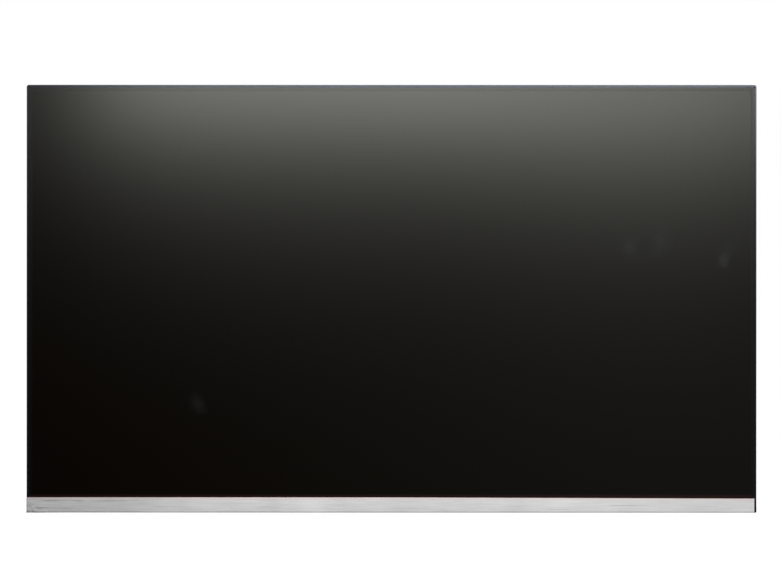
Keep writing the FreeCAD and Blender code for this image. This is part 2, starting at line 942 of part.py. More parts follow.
def make_board_shield():
    # A shallow folded cover that stands on the board, open at the bottom, with a foot at each screw
    outside = block(both_sides(shield_side), (board_back, shield_back), (shield_bottom, shield_top))
    folds = edges_where(outside, lambda p: near(p.y, shield_back) and p.z > shield_bottom + shield_sheet)
    ends = [
        e for e in edges_where(outside, lambda p: near(p.y, shield_back))
        if near(abs(e.CenterOfMass.x), shield_side)
    ]
    outside = outside.makeFillet(shield_bend_radius, folds + ends)
    inside = block(
        both_sides(shield_side - shield_sheet),
        (board_back - THROUGH, shield_front),
        (shield_bottom - THROUGH, shield_top - shield_sheet),
    )
    bezel_room = block(
        both_sides(half_width),
        (board_back - THROUGH, shield_front),
        (shield_bottom - THROUGH, bottom + bezel_rear_height + bezel_shield_gap),
    )
    feet, holes = [], []
    for i in range(vent_count):
        x = (i - (vent_count - 1) / 2) * vent_pitch
        holes.append(
            block(
                (x - vent_width / 2, x + vent_width / 2),
                (shield_front - shield_clearance, shield_back + shield_clearance),
                (covered_middle() - vent_height / 2, covered_middle() + vent_height / 2),
            )
        )
    for x, z in screw_positions:
        foot = block(
            (x - shield_foot_width / 2, x + shield_foot_width / 2),
            (board_back, board_back + shield_sheet),
            (shield_top - shield_sheet, shield_top + shield_foot_height),
        )
        corners = [e for e in edges_through(foot) if e.CenterOfMass.z > shield_top]
        feet.append(foot.makeChamfer(shield_foot_cut, corners))
        holes.append(
            Part.makeCylinder(
                screw_shank_radius + screw_hole_clearance, THROUGH, Vector(x, -THROUGH / 2, z), BACK
            )
        )
    return outside.cut([inside, bezel_room]).fuse(feet).cut(holes).removeSplitter()


# Backlight
def film_sheet(y):
    # An optical sheet with locating ears along its top edge
    sheet = block(both_sides(film_side), y, (film_bottom, film_top))
    ears = []
    for x in ear_offsets:
        ears.append(block((x - ear_width / 2, x + ear_width / 2), y, (film_top, film_top + ear_reach)))
    return sheet.fuse(ears).removeSplitter()


def make_upper_prism_sheet():
    return film_sheet((upper_prism_front, lower_prism_front))


def make_lower_prism_sheet():
    return film_sheet((lower_prism_front, diffuser_front))


def make_diffuser_sheet():
    return film_sheet((diffuser_front, guide_front))


def make_light_guide():
    return block(both_sides(guide_side), (guide_front, reflector_front), (guide_bottom, guide_top))


def make_light_guide_pads():
    # Rubber pads that hold the light guide against the LEDs and centre it between the side walls
    y = (guide_front, skirt_back)
    pads = []
    for x in both_sides(pad_offset_top):
        pads.append(block((x - pad_length / 2, x + pad_length / 2), y, (guide_top, skirt_inner_top)))
    for z in both_sides(pad_offset_side):
        span = (z - pad_length / 2, z + pad_length / 2)
        pads.append(block((guide_side, skirt_inner_side), y, span))
        pads.append(block((-skirt_inner_side, -guide_side), y, span))
    return Part.makeCompound(pads)


def make_reflector_sheet():
    return block(both_sides(guide_side), (reflector_front, cover_floor), (guide_bottom, guide_top))


def make_led_tape():
    y = (led_board_front, led_board_back)
    return block(both_sides(led_board_side), y, (cover_bottom_inner, led_board_bottom))


def make_led_board():
    y = (led_board_front, led_board_back)
    return block(both_sides(led_board_side), y, (led_board_bottom, led_board_top))


def make_leds():
    width, depth, height = led_size
    pitch = active_width / led_count
    y = (guide_middle - depth / 2, guide_middle + depth / 2)
    leds = []
    for i in range(led_count):
        x = (i - (led_count - 1) / 2) * pitch
        leds.append(block((x - width / 2, x + width / 2), y, (led_board_top, led_board_top + height)))
    return Part.makeCompound(leds)


def make_led_tail():
    # From the rear edge of the LED board through the slot in the cover, up into its socket
    x = tail_x - tail_width / 2
    y0 = guide_middle + led_size[1] / 2 + tail_led_gap
    y1 = board_back + tail_lift + tail_thickness
    z0 = led_board_top
    z1 = tail_socket_bottom + tail_insertion
    radius = tail_bend_radius
    inner = radius - tail_thickness
    half = math.sqrt(0.5)
    centre = (y1 - radius, z0 + radius)
    outline = [
        Part.LineSegment(Vector(x, y0, z0), Vector(x, centre[0], z0)),
        Part.Arc(
            Vector(x, centre[0], z0),
            Vector(x, centre[0] + radius * half, centre[1] - radius * half),
            Vector(x, y1, centre[1]),
        ),
        Part.LineSegment(Vector(x, y1, centre[1]), Vector(x, y1, z1)),
        Part.LineSegment(Vector(x, y1, z1), Vector(x, y1 - tail_thickness, z1)),
        Part.LineSegment(Vector(x, y1 - tail_thickness, z1), Vector(x, y1 - tail_thickness, centre[1])),
        Part.Arc(
            Vector(x, y1 - tail_thickness, centre[1]),
            Vector(x, centre[0] + inner * half, centre[1] - inner * half),
            Vector(x, centre[0], z0 + tail_thickness),
        ),
        Part.LineSegment(Vector(x, centre[0], z0 + tail_thickness), Vector(x, y0, z0 + tail_thickness)),
        Part.LineSegment(Vector(x, y0, z0 + tail_thickness), Vector(x, y0, z0)),
    ]
    wire = Part.Wire([curve.toShape() for curve in outline])
    return Part.Face(wire).extrude(RIGHT * tail_width)


PIECES = {
    "front_polarizer": make_front_polarizer,
    "color_filter_glass": make_color_filter_glass,
    "array_glass": make_array_glass,
    "rear_polarizer": make_rear_polarizer,
    "cell_tape": make_cell_tape,
    "driver_films": make_driver_films,
    "driver_chips": make_driver_chips,
    "mid_frame": make_mid_frame,
    "back_cover": make_back_cover,
    "bottom_bezel": make_bottom_bezel,
    "driver_board": make_driver_board,
    "board_insulator": make_board_insulator,
    "timing_chip": make_timing_chip,
    "power_chip": make_power_chip,
    "board_capacitors": make_board_capacitors,
    "board_inductors": make_board_inductors,
    "signal_socket_housing": make_signal_socket_housing,
    "signal_socket_shell": make_signal_socket_shell,
    "signal_socket_contacts": make_signal_socket_contacts,
    "backlight_socket": make_backlight_socket,
    "board_screws": make_board_screws,
    "board_shield": make_board_shield,
    "upper_prism_sheet": make_upper_prism_sheet,
    "lower_prism_sheet": make_lower_prism_sheet,
    "diffuser_sheet": make_diffuser_sheet,
    "light_guide": make_light_guide,
    "light_guide_pads": make_light_guide_pads,
    "reflector_sheet": make_reflector_sheet,
    "led_tape": make_led_tape,
    "led_board": make_led_board,
    "leds": make_leds,
    "led_tail": make_led_tail,
}


def main():
    os.makedirs("parts", exist_ok=True)
    for name, make in PIECES.items():
        shape = make()
        shape.exportStep(os.path.join("parts", name + ".step"))
        box = shape.BoundBox
        print(
            f"{name}: {len(shape.Solids)} solids, {shape.Volume:.1f} mm3, "
            f"{box.XLength:.2f} x {box.YLength:.2f} x {box.ZLength:.2f} mm, valid {shape.isValid()}"
        )


main()
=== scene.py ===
import json
import math

import bpy
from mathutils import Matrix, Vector


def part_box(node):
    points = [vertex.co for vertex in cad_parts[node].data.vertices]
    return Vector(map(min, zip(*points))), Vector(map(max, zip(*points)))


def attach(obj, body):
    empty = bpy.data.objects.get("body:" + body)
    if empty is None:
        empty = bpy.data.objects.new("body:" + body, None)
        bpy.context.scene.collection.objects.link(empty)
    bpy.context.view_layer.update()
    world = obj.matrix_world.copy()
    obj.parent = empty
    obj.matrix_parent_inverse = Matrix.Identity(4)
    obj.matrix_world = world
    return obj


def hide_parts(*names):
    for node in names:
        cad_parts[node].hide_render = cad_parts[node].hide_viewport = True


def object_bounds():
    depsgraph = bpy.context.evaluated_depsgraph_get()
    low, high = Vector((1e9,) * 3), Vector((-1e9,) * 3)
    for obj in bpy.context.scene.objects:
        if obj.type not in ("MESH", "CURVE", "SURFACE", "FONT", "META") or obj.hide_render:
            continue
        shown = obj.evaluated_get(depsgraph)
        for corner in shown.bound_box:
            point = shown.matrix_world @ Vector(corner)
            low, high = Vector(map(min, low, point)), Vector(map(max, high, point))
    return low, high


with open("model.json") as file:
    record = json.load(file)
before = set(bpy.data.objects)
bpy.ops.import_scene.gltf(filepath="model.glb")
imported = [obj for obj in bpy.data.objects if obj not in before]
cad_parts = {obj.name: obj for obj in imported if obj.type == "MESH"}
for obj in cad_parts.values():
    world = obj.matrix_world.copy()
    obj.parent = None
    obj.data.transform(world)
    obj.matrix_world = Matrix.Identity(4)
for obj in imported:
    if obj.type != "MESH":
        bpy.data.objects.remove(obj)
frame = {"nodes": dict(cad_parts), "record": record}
cadLow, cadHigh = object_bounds()
print("frame loaded:", len(frame["nodes"]), "nodes")

mm = 0.001
nodes = frame["nodes"]
scene = bpy.context.scene


# small tools for node trees

def grey(level):
    return (level, level, level)


def setSocket(socket, value):  # a colour is written without its alpha
    socket.default_value = (*value, 1.0) if socket.type == "RGBA" else value


def place(tree, kind, wires=None, **settings):  # one node, its settings, then what feeds it
    node = tree.nodes.new(kind)
    for name, value in settings.items():
        setattr(node, name, value)
    for socket, source in (wires or {}).items():
        if isinstance(source, bpy.types.NodeSocket):
            tree.links.new(source, node.inputs[socket])
        else:
            setSocket(node.inputs[socket], source)
    return node


def newTree(name, kind, inputs, outputs):  # an empty node group with named sockets
    tree = bpy.data.node_groups.new(name, kind)
    for way, sockets in (("INPUT", inputs), ("OUTPUT", outputs)):
        for label, socketKind in sockets.items():
            tree.interface.new_socket(label, in_out=way, socket_type="NodeSocket" + socketKind)
    given = tree.nodes.new("NodeGroupInput").outputs
    made = tree.nodes.new("NodeGroupOutput").inputs
    return tree, given, made


def maths(tree, operation, first, second=0.0):
    return place(tree, "ShaderNodeMath", {0: first, 1: second}, operation=operation).outputs[0]


def minus(tree, first, second):
    return maths(tree, "SUBTRACT", first, second)


def times(tree, first, second):
    return maths(tree, "MULTIPLY", first, second)


def remap(tree, value, low, high, toLow=0.0, toHigh=1.0, kind="SMOOTHSTEP"):  # held at its ends
    wires = {"Value": value, "From Min": low, "From Max": high, "To Min": toLow, "To Max": toHigh}
    return place(tree, "ShaderNodeMapRange", wires, interpolation_type=kind).outputs[0]


def tint(tree, amount, first, second, blend="MIX"):
    wires = {0: amount, 6: first, 7: second}  # the colour sockets
    return place(tree, "ShaderNodeMix", wires, data_type="RGBA", blend_type=blend).outputs[2]


def shaded(tree, amount, color, factor):  # darkens a colour by a mask
    return tint(tree, amount, color, grey(factor), "MULTIPLY")


def clouds(tree, point, scale, detail=2.0, distortion=0.0):
    wires = {"Vector": point, "Scale": scale, "Detail": detail, "Distortion": distortion}
    return place(tree, "ShaderNodeTexNoise", wires).outputs[0]


def cells(tree, point, scale, output="Distance"):
    return place(tree, "ShaderNodeTexVoronoi", {"Vector": point, "Scale": scale}).outputs[output]


def objectPoint(tree):
    return place(tree, "ShaderNodeTexCoord").outputs["Object"]


def inMillimetres(tree, stretch=(1.0, 1.0, 1.0)):  # Object coordinates counted in millimetres
    wires = {0: objectPoint(tree), "Scale": [share / mm for share in stretch]}
    return place(tree, "ShaderNodeMapping", wires).outputs[0]


def axes(tree, point):
    return place(tree, "ShaderNodeSeparateXYZ", {0: point}).outputs


def triple(tree, x=0.0, y=0.0, z=0.0):
    return place(tree, "ShaderNodeCombineXYZ", {"X": x, "Y": y, "Z": z}).outputs[0]


def weighted(tree, parts):  # sum of masks, each with its weight
    total = 0.0
    for mask, weight in parts:
        total = maths(tree, "ADD", times(tree, mask, weight), total)
    return total


# finishes that several materials share

surfaceInputs = {"Light": "Color", "Dark": "Color", "Smooth": "Float", "Rough": "Float"}
surfaceOutputs = {"Color": "Color", "Roughness": "Float", "Height": "Float"}


def closeSurface(tree, given, made, shade, gloss, height):  # from dark to light, from smooth to rough
    spread = minus(tree, given["Rough"], given["Smooth"])
    roughness = maths(tree, "ADD", given["Smooth"], times(tree, gloss, spread))
    tree.links.new(tint(tree, shade, given["Dark"], given["Light"]), made["Color"])
    tree.links.new(roughness, made["Roughness"])
    tree.links.new(height, made["Height"])
    return tree


rollLook = {
    "patchesPerMm": 0.025,
    "specksPerMm": 2.2,
    "shadeMix": (0.5, 0.35, 0.15),  # shares of lines, patches and specks
    "shadeRange": (0.36, 0.64),
    "glossMix": (0.4, 0.3, 0.3),
    "glossRange": (0.35, 0.65),
    "heightMix": (0.6, 0.4),  # shares of lines and specks
}


def buildRolledSteel(look):  # sheet metal: rolling lines along X, soft patches and fine specks
    inputs = {
        **surfaceInputs,
        "Lines": "Float",  # rolling lines per mm
        "Run": "Float",  # how much of a line's length counts, so small is long
    }
    tree, given, made = newTree("rolledSteel", "ShaderNodeTree", inputs, surfaceOutputs)
    point = inMillimetres(tree)
    along = axes(tree, point)
    run = times(tree, along["X"], given["Run"])
    line = clouds(tree, triple(tree, run, along["Y"], along["Z"]), given["Lines"], detail=5.0)
    patch = clouds(tree, point, look["patchesPerMm"], detail=3.0, distortion=0.4)
    speck = clouds(tree, point, look["specksPerMm"])
    layers = (line, patch, speck)
    shade = remap(tree, weighted(tree, zip(layers, look["shadeMix"])), *look["shadeRange"])
    gloss = remap(tree, weighted(tree, zip(layers, look["glossMix"])), *look["glossRange"])
    height = weighted(tree, zip((line, speck), look["heightMix"]))
    return closeSurface(tree, given, made, shade, gloss, height)


grainLook = {"slowPerMm": 0.06, "shadeMix": (0.5, 0.5), "shadeRange": (0.35, 0.65)}


def buildMouldedSkin(look):  # moulded or coated surface: fine grain over slow shade
    inputs = {**surfaceInputs, "Grain": "Float"}  # grains per mm
    tree, given, made = newTree("mouldedSkin", "ShaderNodeTree", inputs, surfaceOutputs)
    point = inMillimetres(tree)
    grain = clouds(tree, point, given["Grain"], detail=3.0)
    slow = clouds(tree, point, look["slowPerMm"])
    shade = remap(tree, weighted(tree, zip((grain, slow), look["shadeMix"])), *look["shadeRange"])
    return closeSurface(tree, given, made, shade, grain, grain)


smearLook = {"smearRange": (0.52, 0.78), "breaksPerMm": 0.6, "breakRange": (0.3, 0.7)}


def buildHandling(look):  # sparse soft smears left by handling, as a mask
    inputs = {"Scale": "Float", "Amount": "Float"}
    tree, given, made = newTree("handlingSmears", "ShaderNodeTree", inputs, {"Mask": "Float"})
    point = inMillimetres(tree)
    smear = remap(tree, clouds(tree, point, given["Scale"], detail=5.0, distortion=1.2), *look["smearRange"])
    broken = remap(tree, clouds(tree, point, look["breaksPerMm"], detail=3.0), *look["breakRange"])
    mask = times(tree, times(tree, smear, broken), given["Amount"])
    tree.links.new(mask, made["Mask"])
    return tree


rolledSteel = buildRolledSteel(rollLook)
mouldedSkin = buildMouldedSkin(grainLook)
handlingSmears = buildHandling(smearLook)
print("shared finishes ready")


# material tools

shaderConstants = {
    "gloss": "Specular IOR Level", "sheen": "Specular Tint", "metal": "Metallic",
    "coatRoughness": "Coat Roughness",
}


def newMaterial(name, look):  # sets the constants that the look names
    material = bpy.data.materials.new(name)
    material.use_nodes = True
    tree = material.node_tree
    shader = tree.nodes["Principled BSDF"]
    for word, socket in shaderConstants.items():
        if word in look:
            setSocket(shader.inputs[socket], look[word])
    return material, tree, shader


def useGroup(tree, group, look):  # takes from the look what the group has inputs for
    names = [item.name for item in group.interface.items_tree if item.in_out == "INPUT"]
    wires = {name: look[name] for name in names}
    return place(tree, "ShaderNodeGroup", wires, node_tree=group).outputs


def feed(tree, shader, color, roughness, height, bump):  # bump is a strength and a depth
    wires = {"Height": height, "Strength": bump[0], "Distance": bump[1]}
    normal = place(tree, "ShaderNodeBump", wires).outputs[0]
    tree.links.new(color, shader.inputs["Base Color"])
    tree.links.new(roughness, shader.inputs["Roughness"])
    tree.links.new(normal, shader.inputs["Normal"])


def dress(material, *names):  # gives CAD nodes their finish
    for name in names:
        nodes[name].material_slots[0].material = material


# screen: matt black anti-glare film with a dark border and a few smears

filmLook = {
    "active": (0.0012, 0.0006, 0.0001),
    "border": (0.0013, 0.0012, 0.0008),
    "lowerBorder": (0.0075, 0.0026, 0.0022),  # a trace of red along the strip
    "smear": (0.0125, 0.0125, 0.0115),
    "gloss": 0.115,
    "sheen": (0.98, 1.0, 0.915),  # what the film mirrors comes back a little olive
    "activeRoughness": 0.224,
    "borderRoughness": 0.236,
    "seamRoughness": 0.265,
    "hazierRight": 0.034,  # roughness that the right end has more
    "grainsPerMm": 6.0,
    "grain": 0.012,  # roughness change from grain to grain
    "bump": (0.02, 0.005 * mm),
    "borderSide": 1.88 * mm,
    "borderBottom": 2.40 * mm,
    "borderBlur": 0.1 * mm,
    "lowerBlur": (-0.6 * mm, 0.9 * mm),  # where the red sets in, down from the border's upper line
    "seamWidth": 0.45 * mm,
    "wobblesPerMm": 0.16, "wobbleRange": (0.2, 0.8),
    "wobble": 0.35,  # how far noise moves a smear's outline, in half widths
    "smearFade": (2.1, -0.3),  # half widths at which a smear ends, and is full
    "smears": [  # x, z, half width, half height, lean to the right, strength
        (-142.3 * mm, -76.8 * mm, 4.2 * mm, 4.8 * mm, -0.2, 0.34),
        (174.6 * mm, 37.5 * mm, 5.4 * mm, 6.6 * mm, -0.2, 0.36),
        (197.2 * mm, 41.0 * mm, 5.6 * mm, 8.2 * mm, 0.15, 0.28),
        (243.0 * mm, 27.6 * mm, 3.0 * mm, 4.0 * mm, 0.05, 0.72),
        (247.5 * mm, 37.0 * mm, 4.6 * mm, 6.5 * mm, 0.5, 0.22),
    ],
}


def smearMask(tree, along, wobble, fade, smear):  # soft oval, broken up by noise
    x, z, halfWidth, halfHeight, lean, strength = smear
    rise = minus(tree, along["Z"], z)
    aside = weighted(tree, [(along["X"], 1.0), (rise, -lean)])
    dx = maths(tree, "DIVIDE", minus(tree, aside, x), halfWidth)
    dz = maths(tree, "DIVIDE", rise, halfHeight)
    squares = maths(tree, "ADD", times(tree, dx, dx), times(tree, dz, dz))
    far = maths(tree, "ADD", maths(tree, "SQRT", squares), wobble)
    return remap(tree, far, *fade, 0.0, strength)


def antiGlareFilm(look):
    material, tree, shader = newMaterial("antiGlareFilm", look)
    low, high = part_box("front_polarizer")
    along = axes(tree, objectPoint(tree))
    side = minus(tree, maths(tree, "ABSOLUTE", along["X"]), high.x - look["borderSide"])
    top = minus(tree, along["Z"], high.z - look["borderSide"])
    bottom = minus(tree, low.z + look["borderBottom"], along["Z"])
    edge = maths(tree, "MAXIMUM", maths(tree, "MAXIMUM", side, top), bottom)  # above 0 in the border
    inBorder = remap(tree, edge, -look["borderBlur"], look["borderBlur"])
    onSeam = remap(tree, maths(tree, "ABSOLUTE", edge), look["seamWidth"], 0.0)
    point = inMillimetres(tree)
    wobble = clouds(tree, point, look["wobblesPerMm"], detail=4.0)
    wobble = remap(tree, wobble, *look["wobbleRange"], -look["wobble"], look["wobble"])
    masks = [smearMask(tree, along, wobble, look["smearFade"], smear) for smear in look["smears"]]
    marks = weighted(tree, [(mask, 1.0) for mask in masks])
    grain = clouds(tree, point, look["grainsPerMm"])
    color = tint(tree, inBorder, look["active"], look["border"])
    color = tint(tree, remap(tree, bottom, *look["lowerBlur"]), color, look["lowerBorder"])
    color = tint(tree, marks, color, look["smear"])
    roughness = remap(tree, inBorder, 0.0, 1.0, look["activeRoughness"], look["borderRoughness"])
    seamGain = look["seamRoughness"] - look["activeRoughness"]
    haze = remap(tree, along["X"], 0.0, high.x, 0.0, look["hazierRight"])
    roughness = weighted(tree, [(roughness, 1.0), (onSeam, seamGain), (haze, 1.0), (grain, look["grain"])])
    feed(tree, shader, color, roughness, grain, look["bump"])
    return material


dress(antiGlareFilm(filmLook), "front_polarizer")
print("screen film done")


# black moulded frame, a little blue, with a spark-eroded grain

frameLook = {
    "Light": (0.0026, 0.0029, 0.0064), "Dark": (0.0017, 0.0019, 0.0047),
    "Grain": 4.0, "Smooth": 0.23, "Rough": 0.29,
    "gloss": 0.20,
    "sheen": (0.80, 0.84, 1.0),
    "rubs": {"Scale": 0.05, "Amount": 0.35},
    "rubbed": (0.007, 0.007, 0.010),
    "bump": (0.25, 0.01 * mm),
}


def mouldedFrame(look):
    material, tree, shader = newMaterial("mouldedFrame", look)
    skin = useGroup(tree, mouldedSkin, look)
    rub = useGroup(tree, handlingSmears, look["rubs"])["Mask"]
    color = tint(tree, rub, skin["Color"], look["rubbed"])
    feed(tree, shader, color, skin["Roughness"], skin["Height"], look["bump"])
    return material


dress(mouldedFrame(frameLook), "mid_frame")


# bottom strip: bare rolled steel, rubbed in places and scuffed at its left end, with painted shade on its
# lower bend and on its folded back

stripLook = {
    "Light": (0.832, 0.828, 0.835), "Dark": (0.778, 0.775, 0.781),
    "Lines": 1.6, "Run": 0.035, "Smooth": 0.32, "Rough": 0.355,
    "metal": 1.0,
    "bump": (0.12, 0.01 * mm),
    "edgeTint": (0.86, 0.76, 0.755),
    "edgeWidth": 2.6 * mm,
    "rightDrop": 0.8 * mm,  # how far the upper edge slopes down on the right half
    "foldHeight": (1.25 * mm, 0.5 * mm),  # where the painted shade on the lower bend ends, and is full
    "paintedFoldShade": 0.55,
    "faceDepth": (0.6 * mm, 1.0 * mm),  # where the painted shade on the folded back, behind the face, starts, and is full
    "paintedBackShade": 0.62,
    "roughEnd": (330.0 * mm, 140.0 * mm),  # from the left end: where it starts to be rougher, and is full
    "endRoughness": 0.031,
    "scuffReach": 22.0 * mm,
    "scuffStretch": (0.65, 1.7),  # how fast the scuff fades to the right, and upwards
    "scuffMix": (0.65, 0.5),  # shares of chipped patches and of an even shade
    "scuffShade": 0.22,
    "scuffRoughness": 0.15,
    "chipStretch": (0.4, 1.0, 1.0), "chipsPerMm": 0.4, "chipRange": (0.40, 0.58),
    "rubStretch": (0.06, 1.0, 1.0), "rubBreaksPerMm": 0.9, "rubBreakRange": (0.38, 0.62),
    "rubFull": 0.6,  # share of its length over which a rub is full
    "rubShade": 0.55,
    "rubs": [  # start x, end x, z, half height, strength
        (155.0 * mm, 202.0 * mm, -151.3 * mm, 0.55 * mm, 0.75),
        (212.0 * mm, 242.0 * mm, -152.2 * mm, 0.50 * mm, 0.5),
        (112.0 * mm, 140.0 * mm, -154.3 * mm, 0.50 * mm, 0.5),
        (-264.0 * mm, -224.0 * mm, -153.3 * mm, 0.95 * mm, 0.9),
        (-258.0 * mm, -222.0 * mm, -148.0 * mm, 1.10 * mm, 0.8),
        (-226.0 * mm, -180.0 * mm, -147.9 * mm, 0.90 * mm, 0.7),
        (-178.0 * mm, -142.0 * mm, -152.4 * mm, 0.80 * mm, 0.5),
    ],
}


def rubMask(tree, along, broken, full, rub):  # a thin broken line along the strip
    start, end, z, half, strength = rub
    centre, reach = (start + end) / 2, (end - start) / 2
    aside = maths(tree, "ABSOLUTE", minus(tree, along["X"], centre))
    offLine = maths(tree, "ABSOLUTE", minus(tree, along["Z"], z))
    inRun = remap(tree, aside, reach, reach * full)
    inBand = remap(tree, offLine, half, 0.0)
    mask = times(tree, times(tree, inRun, inBand), broken)
    return times(tree, mask, strength)


def bareStrip(look):
    material, tree, shader = newMaterial("bareStrip", look)
    steel = useGroup(tree, rolledSteel, look)
    low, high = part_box("bottom_bezel")
    along = axes(tree, objectPoint(tree))
    fromLeft = minus(tree, along["X"], low.x)
    fromFront = minus(tree, along["Y"], low.y)
    fromBottom = minus(tree, along["Z"], low.z)
    breaks = clouds(tree, inMillimetres(tree, look["rubStretch"]), look["rubBreaksPerMm"], detail=4.0)
    broken = remap(tree, breaks, *look["rubBreakRange"])
    masks = [rubMask(tree, along, broken, look["rubFull"], rub) for rub in look["rubs"]]
    marks = weighted(tree, [(mask, 1.0) for mask in masks])
    chipPoint = inMillimetres(tree, look["chipStretch"])
    chips = clouds(tree, chipPoint, look["chipsPerMm"], detail=3.0, distortion=0.8)
    chipped = remap(tree, chips, *look["chipRange"])
    corner = weighted(tree, zip((fromLeft, fromBottom), look["scuffStretch"]))
    scuffed = remap(tree, corner, look["scuffReach"], 0.0)
    scuff = times(tree, scuffed, weighted(tree, zip((chipped, 1.0), look["scuffMix"])))
    slope = remap(tree, along["X"], 0.0, high.x, 0.0, look["rightDrop"], kind="LINEAR")
    belowEdge = minus(tree, minus(tree, high.z, slope), along["Z"])
    color = tint(tree, remap(tree, belowEdge, look["edgeWidth"], 0.0), steel["Color"], look["edgeTint"])
    # painted shade: a dark line along the lower bend
    color = shaded(tree, remap(tree, fromBottom, *look["foldHeight"]), color, look["paintedFoldShade"])
    # painted shade: the folded back behind the face is darker
    color = shaded(tree, remap(tree, fromFront, *look["faceDepth"]), color, look["paintedBackShade"])
    color = shaded(tree, marks, color, look["rubShade"])
    color = shaded(tree, scuff, color, look["scuffShade"])
    rougher = remap(tree, fromLeft, *look["roughEnd"], 0.0, look["endRoughness"])
    roughness = weighted(tree, [(steel["Roughness"], 1.0), (scuff, look["scuffRoughness"]), (rougher, 1.0)])
    feed(tree, shader, color, roughness, steel["Height"], look["bump"])
    return material


dress(bareStrip(stripLook), "bottom_bezel")


# pressed rear cover: zinc coated steel with a faint spangle

coverLook = {
    "Light": (0.50, 0.51, 0.52), "Dark": (0.43, 0.44, 0.455),
    "Lines": 0.9, "Run": 0.03, "Smooth": 0.38, "Rough": 0.48,
    "metal": 1.0,
    "bump": (0.6, 0.25 * mm),
    "crystalsPerMm": 0.22,
    "crystalAmount": 0.32,
    "crystalShade": 0.8,
    "crystalRoughness": 0.05,
    "smears": {"Scale": 0.018, "Amount": 0.4},
    "smeared": (0.38, 0.385, 0.39),
    "smearRoughness": 0.12,
    "slackPerMm": 0.012,  # large thin sheet, never quite flat
    "lineHeight": 0.02,  # height of the rolling lines beside the slack
}


def zincCover(look):
    material, tree, shader = newMaterial("zincCover", look)
    steel = useGroup(tree, rolledSteel, look)
    point = inMillimetres(tree)
    crystal = axes(tree, cells(tree, point, look["crystalsPerMm"], "Color"))["X"]
    smear = useGroup(tree, handlingSmears, look["smears"])["Mask"]
    amount = times(tree, crystal, look["crystalAmount"])
    color = shaded(tree, amount, steel["Color"], look["crystalShade"])
    color = tint(tree, smear, color, look["smeared"])
    wear = [(crystal, look["crystalRoughness"]), (smear, look["smearRoughness"])]
    roughness = weighted(tree, [(steel["Roughness"], 1.0)] + wear)
    slack = clouds(tree, point, look["slackPerMm"])
    height = weighted(tree, [(steel["Height"], look["lineHeight"]), (slack, 1.0)])
    feed(tree, shader, color, roughness, height, look["bump"])
    return material


dress(zincCover(coverLook), "back_cover")


# tinned steel: board shield and the socket's metal cover

tinLook = {
    "board_shield": {
        "Light": (0.50, 0.50, 0.49), "Dark": (0.41, 0.41, 0.40),
        "Lines": 1.4, "Run": 0.02, "Smooth": 0.27, "Rough": 0.38,
    },
    "signal_socket_shell": {
        "Light": (0.60, 0.60, 0.59), "Dark": (0.48, 0.48, 0.47),
        "Lines": 6.0, "Run": 0.05, "Smooth": 0.22, "Rough": 0.32,
    },
}
tinWear = {
    "Scale": 0.05, "Amount": 0.35, "shade": 0.7, "roughness": 0.12, "metal": 1.0,
    "bump": (0.12, 0.02 * mm),
}


def tinnedSteel(name, look, wear):
    material, tree, shader = newMaterial("tinned_" + name, wear)
    steel = useGroup(tree, rolledSteel, look)
    smear = useGroup(tree, handlingSmears, wear)["Mask"]
    color = shaded(tree, smear, steel["Color"], wear["shade"])
    roughness = weighted(tree, [(steel["Roughness"], 1.0), (smear, wear["roughness"])])
    feed(tree, shader, color, roughness, steel["Height"], wear["bump"])
    return material


for node, look in tinLook.items():
    dress(tinnedSteel(node, look, tinWear), node)
print("frame and sheet metal done")


# driver board: green solder mask over copper tracks and filled vias

boardLook = {
    "mask": (0.006, 0.060, 0.026),
    "track": (0.016, 0.125, 0.052),
    "edge": (0.22, 0.19, 0.085),  # bare glass fibre on the cut edges
    "edgeDepth": (0.03, 0.05),  # mm below the rear face where the bare edge starts, and is full
    "tracksPerMm": 2.2,
    "longBus": {"stretch": (0.08, 1.0, 0.5), "perMm": 0.5, "range": (0.48, 0.52)},
    "shortBus": {"stretch": (0.5, 1.0, 0.1), "perMm": 0.4, "range": (0.55, 0.58)},
    "viasPerMm": 0.42, "viaRange": (0.16, 0.11),
    "weavePerMm": 5.0, "weaveRange": (0.3, 0.7), "weaveHeight": 0.15,
    "roughness": (0.26, 0.36),
    "coat": 0.22, "coatRoughness": 0.18,
    "gloss": 0.3,
    "bump": (0.5, 0.03 * mm),
}
trackRange = (0.0, 0.35)  # height of the wave where a track starts, and is full


def linesAlong(tree, distance, perMm):  # soft parallel tracks across one axis
    phase = times(tree, distance, perMm * 2 * math.pi)
    return remap(tree, maths(tree, "SINE", phase), *trackRange)


def busTracks(tree, distance, perMm, bus):  # tracks in the patches where a bus runs
    patch = clouds(tree, inMillimetres(tree, bus["stretch"]), bus["perMm"], detail=1.0)
    return times(tree, linesAlong(tree, distance, perMm), remap(tree, patch, *bus["range"]))


def solderMask(look):
    material, tree, shader = newMaterial("solderMask", look)
    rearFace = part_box("driver_board")[1].y / mm
    point = inMillimetres(tree)
    along = axes(tree, point)
    lengthways = busTracks(tree, along["Z"], look["tracksPerMm"], look["longBus"])
    crossways = busTracks(tree, along["X"], look["tracksPerMm"], look["shortBus"])
    vias = remap(tree, cells(tree, point, look["viasPerMm"]), *look["viaRange"])
    copper = maths(tree, "MAXIMUM", maths(tree, "MAXIMUM", lengthways, crossways), vias)
    onEdge = remap(tree, minus(tree, rearFace, along["Y"]), *look["edgeDepth"])
    weave = clouds(tree, point, look["weavePerMm"])
    color = tint(tree, copper, look["mask"], look["track"])
    color = tint(tree, onEdge, color, look["edge"])
    roughness = remap(tree, weave, *look["weaveRange"], *look["roughness"])
    coat = remap(tree, onEdge, 0.0, 1.0, look["coat"], 0.0)
    tree.links.new(coat, shader.inputs["Coat Weight"])
    height = weighted(tree, [(copper, 1.0), (weave, look["weaveHeight"])])
    feed(tree, shader, color, roughness, height, look["bump"])
    return material


dress(solderMask(boardLook), "driver_board")


# flexible films: amber base with fine copper lines

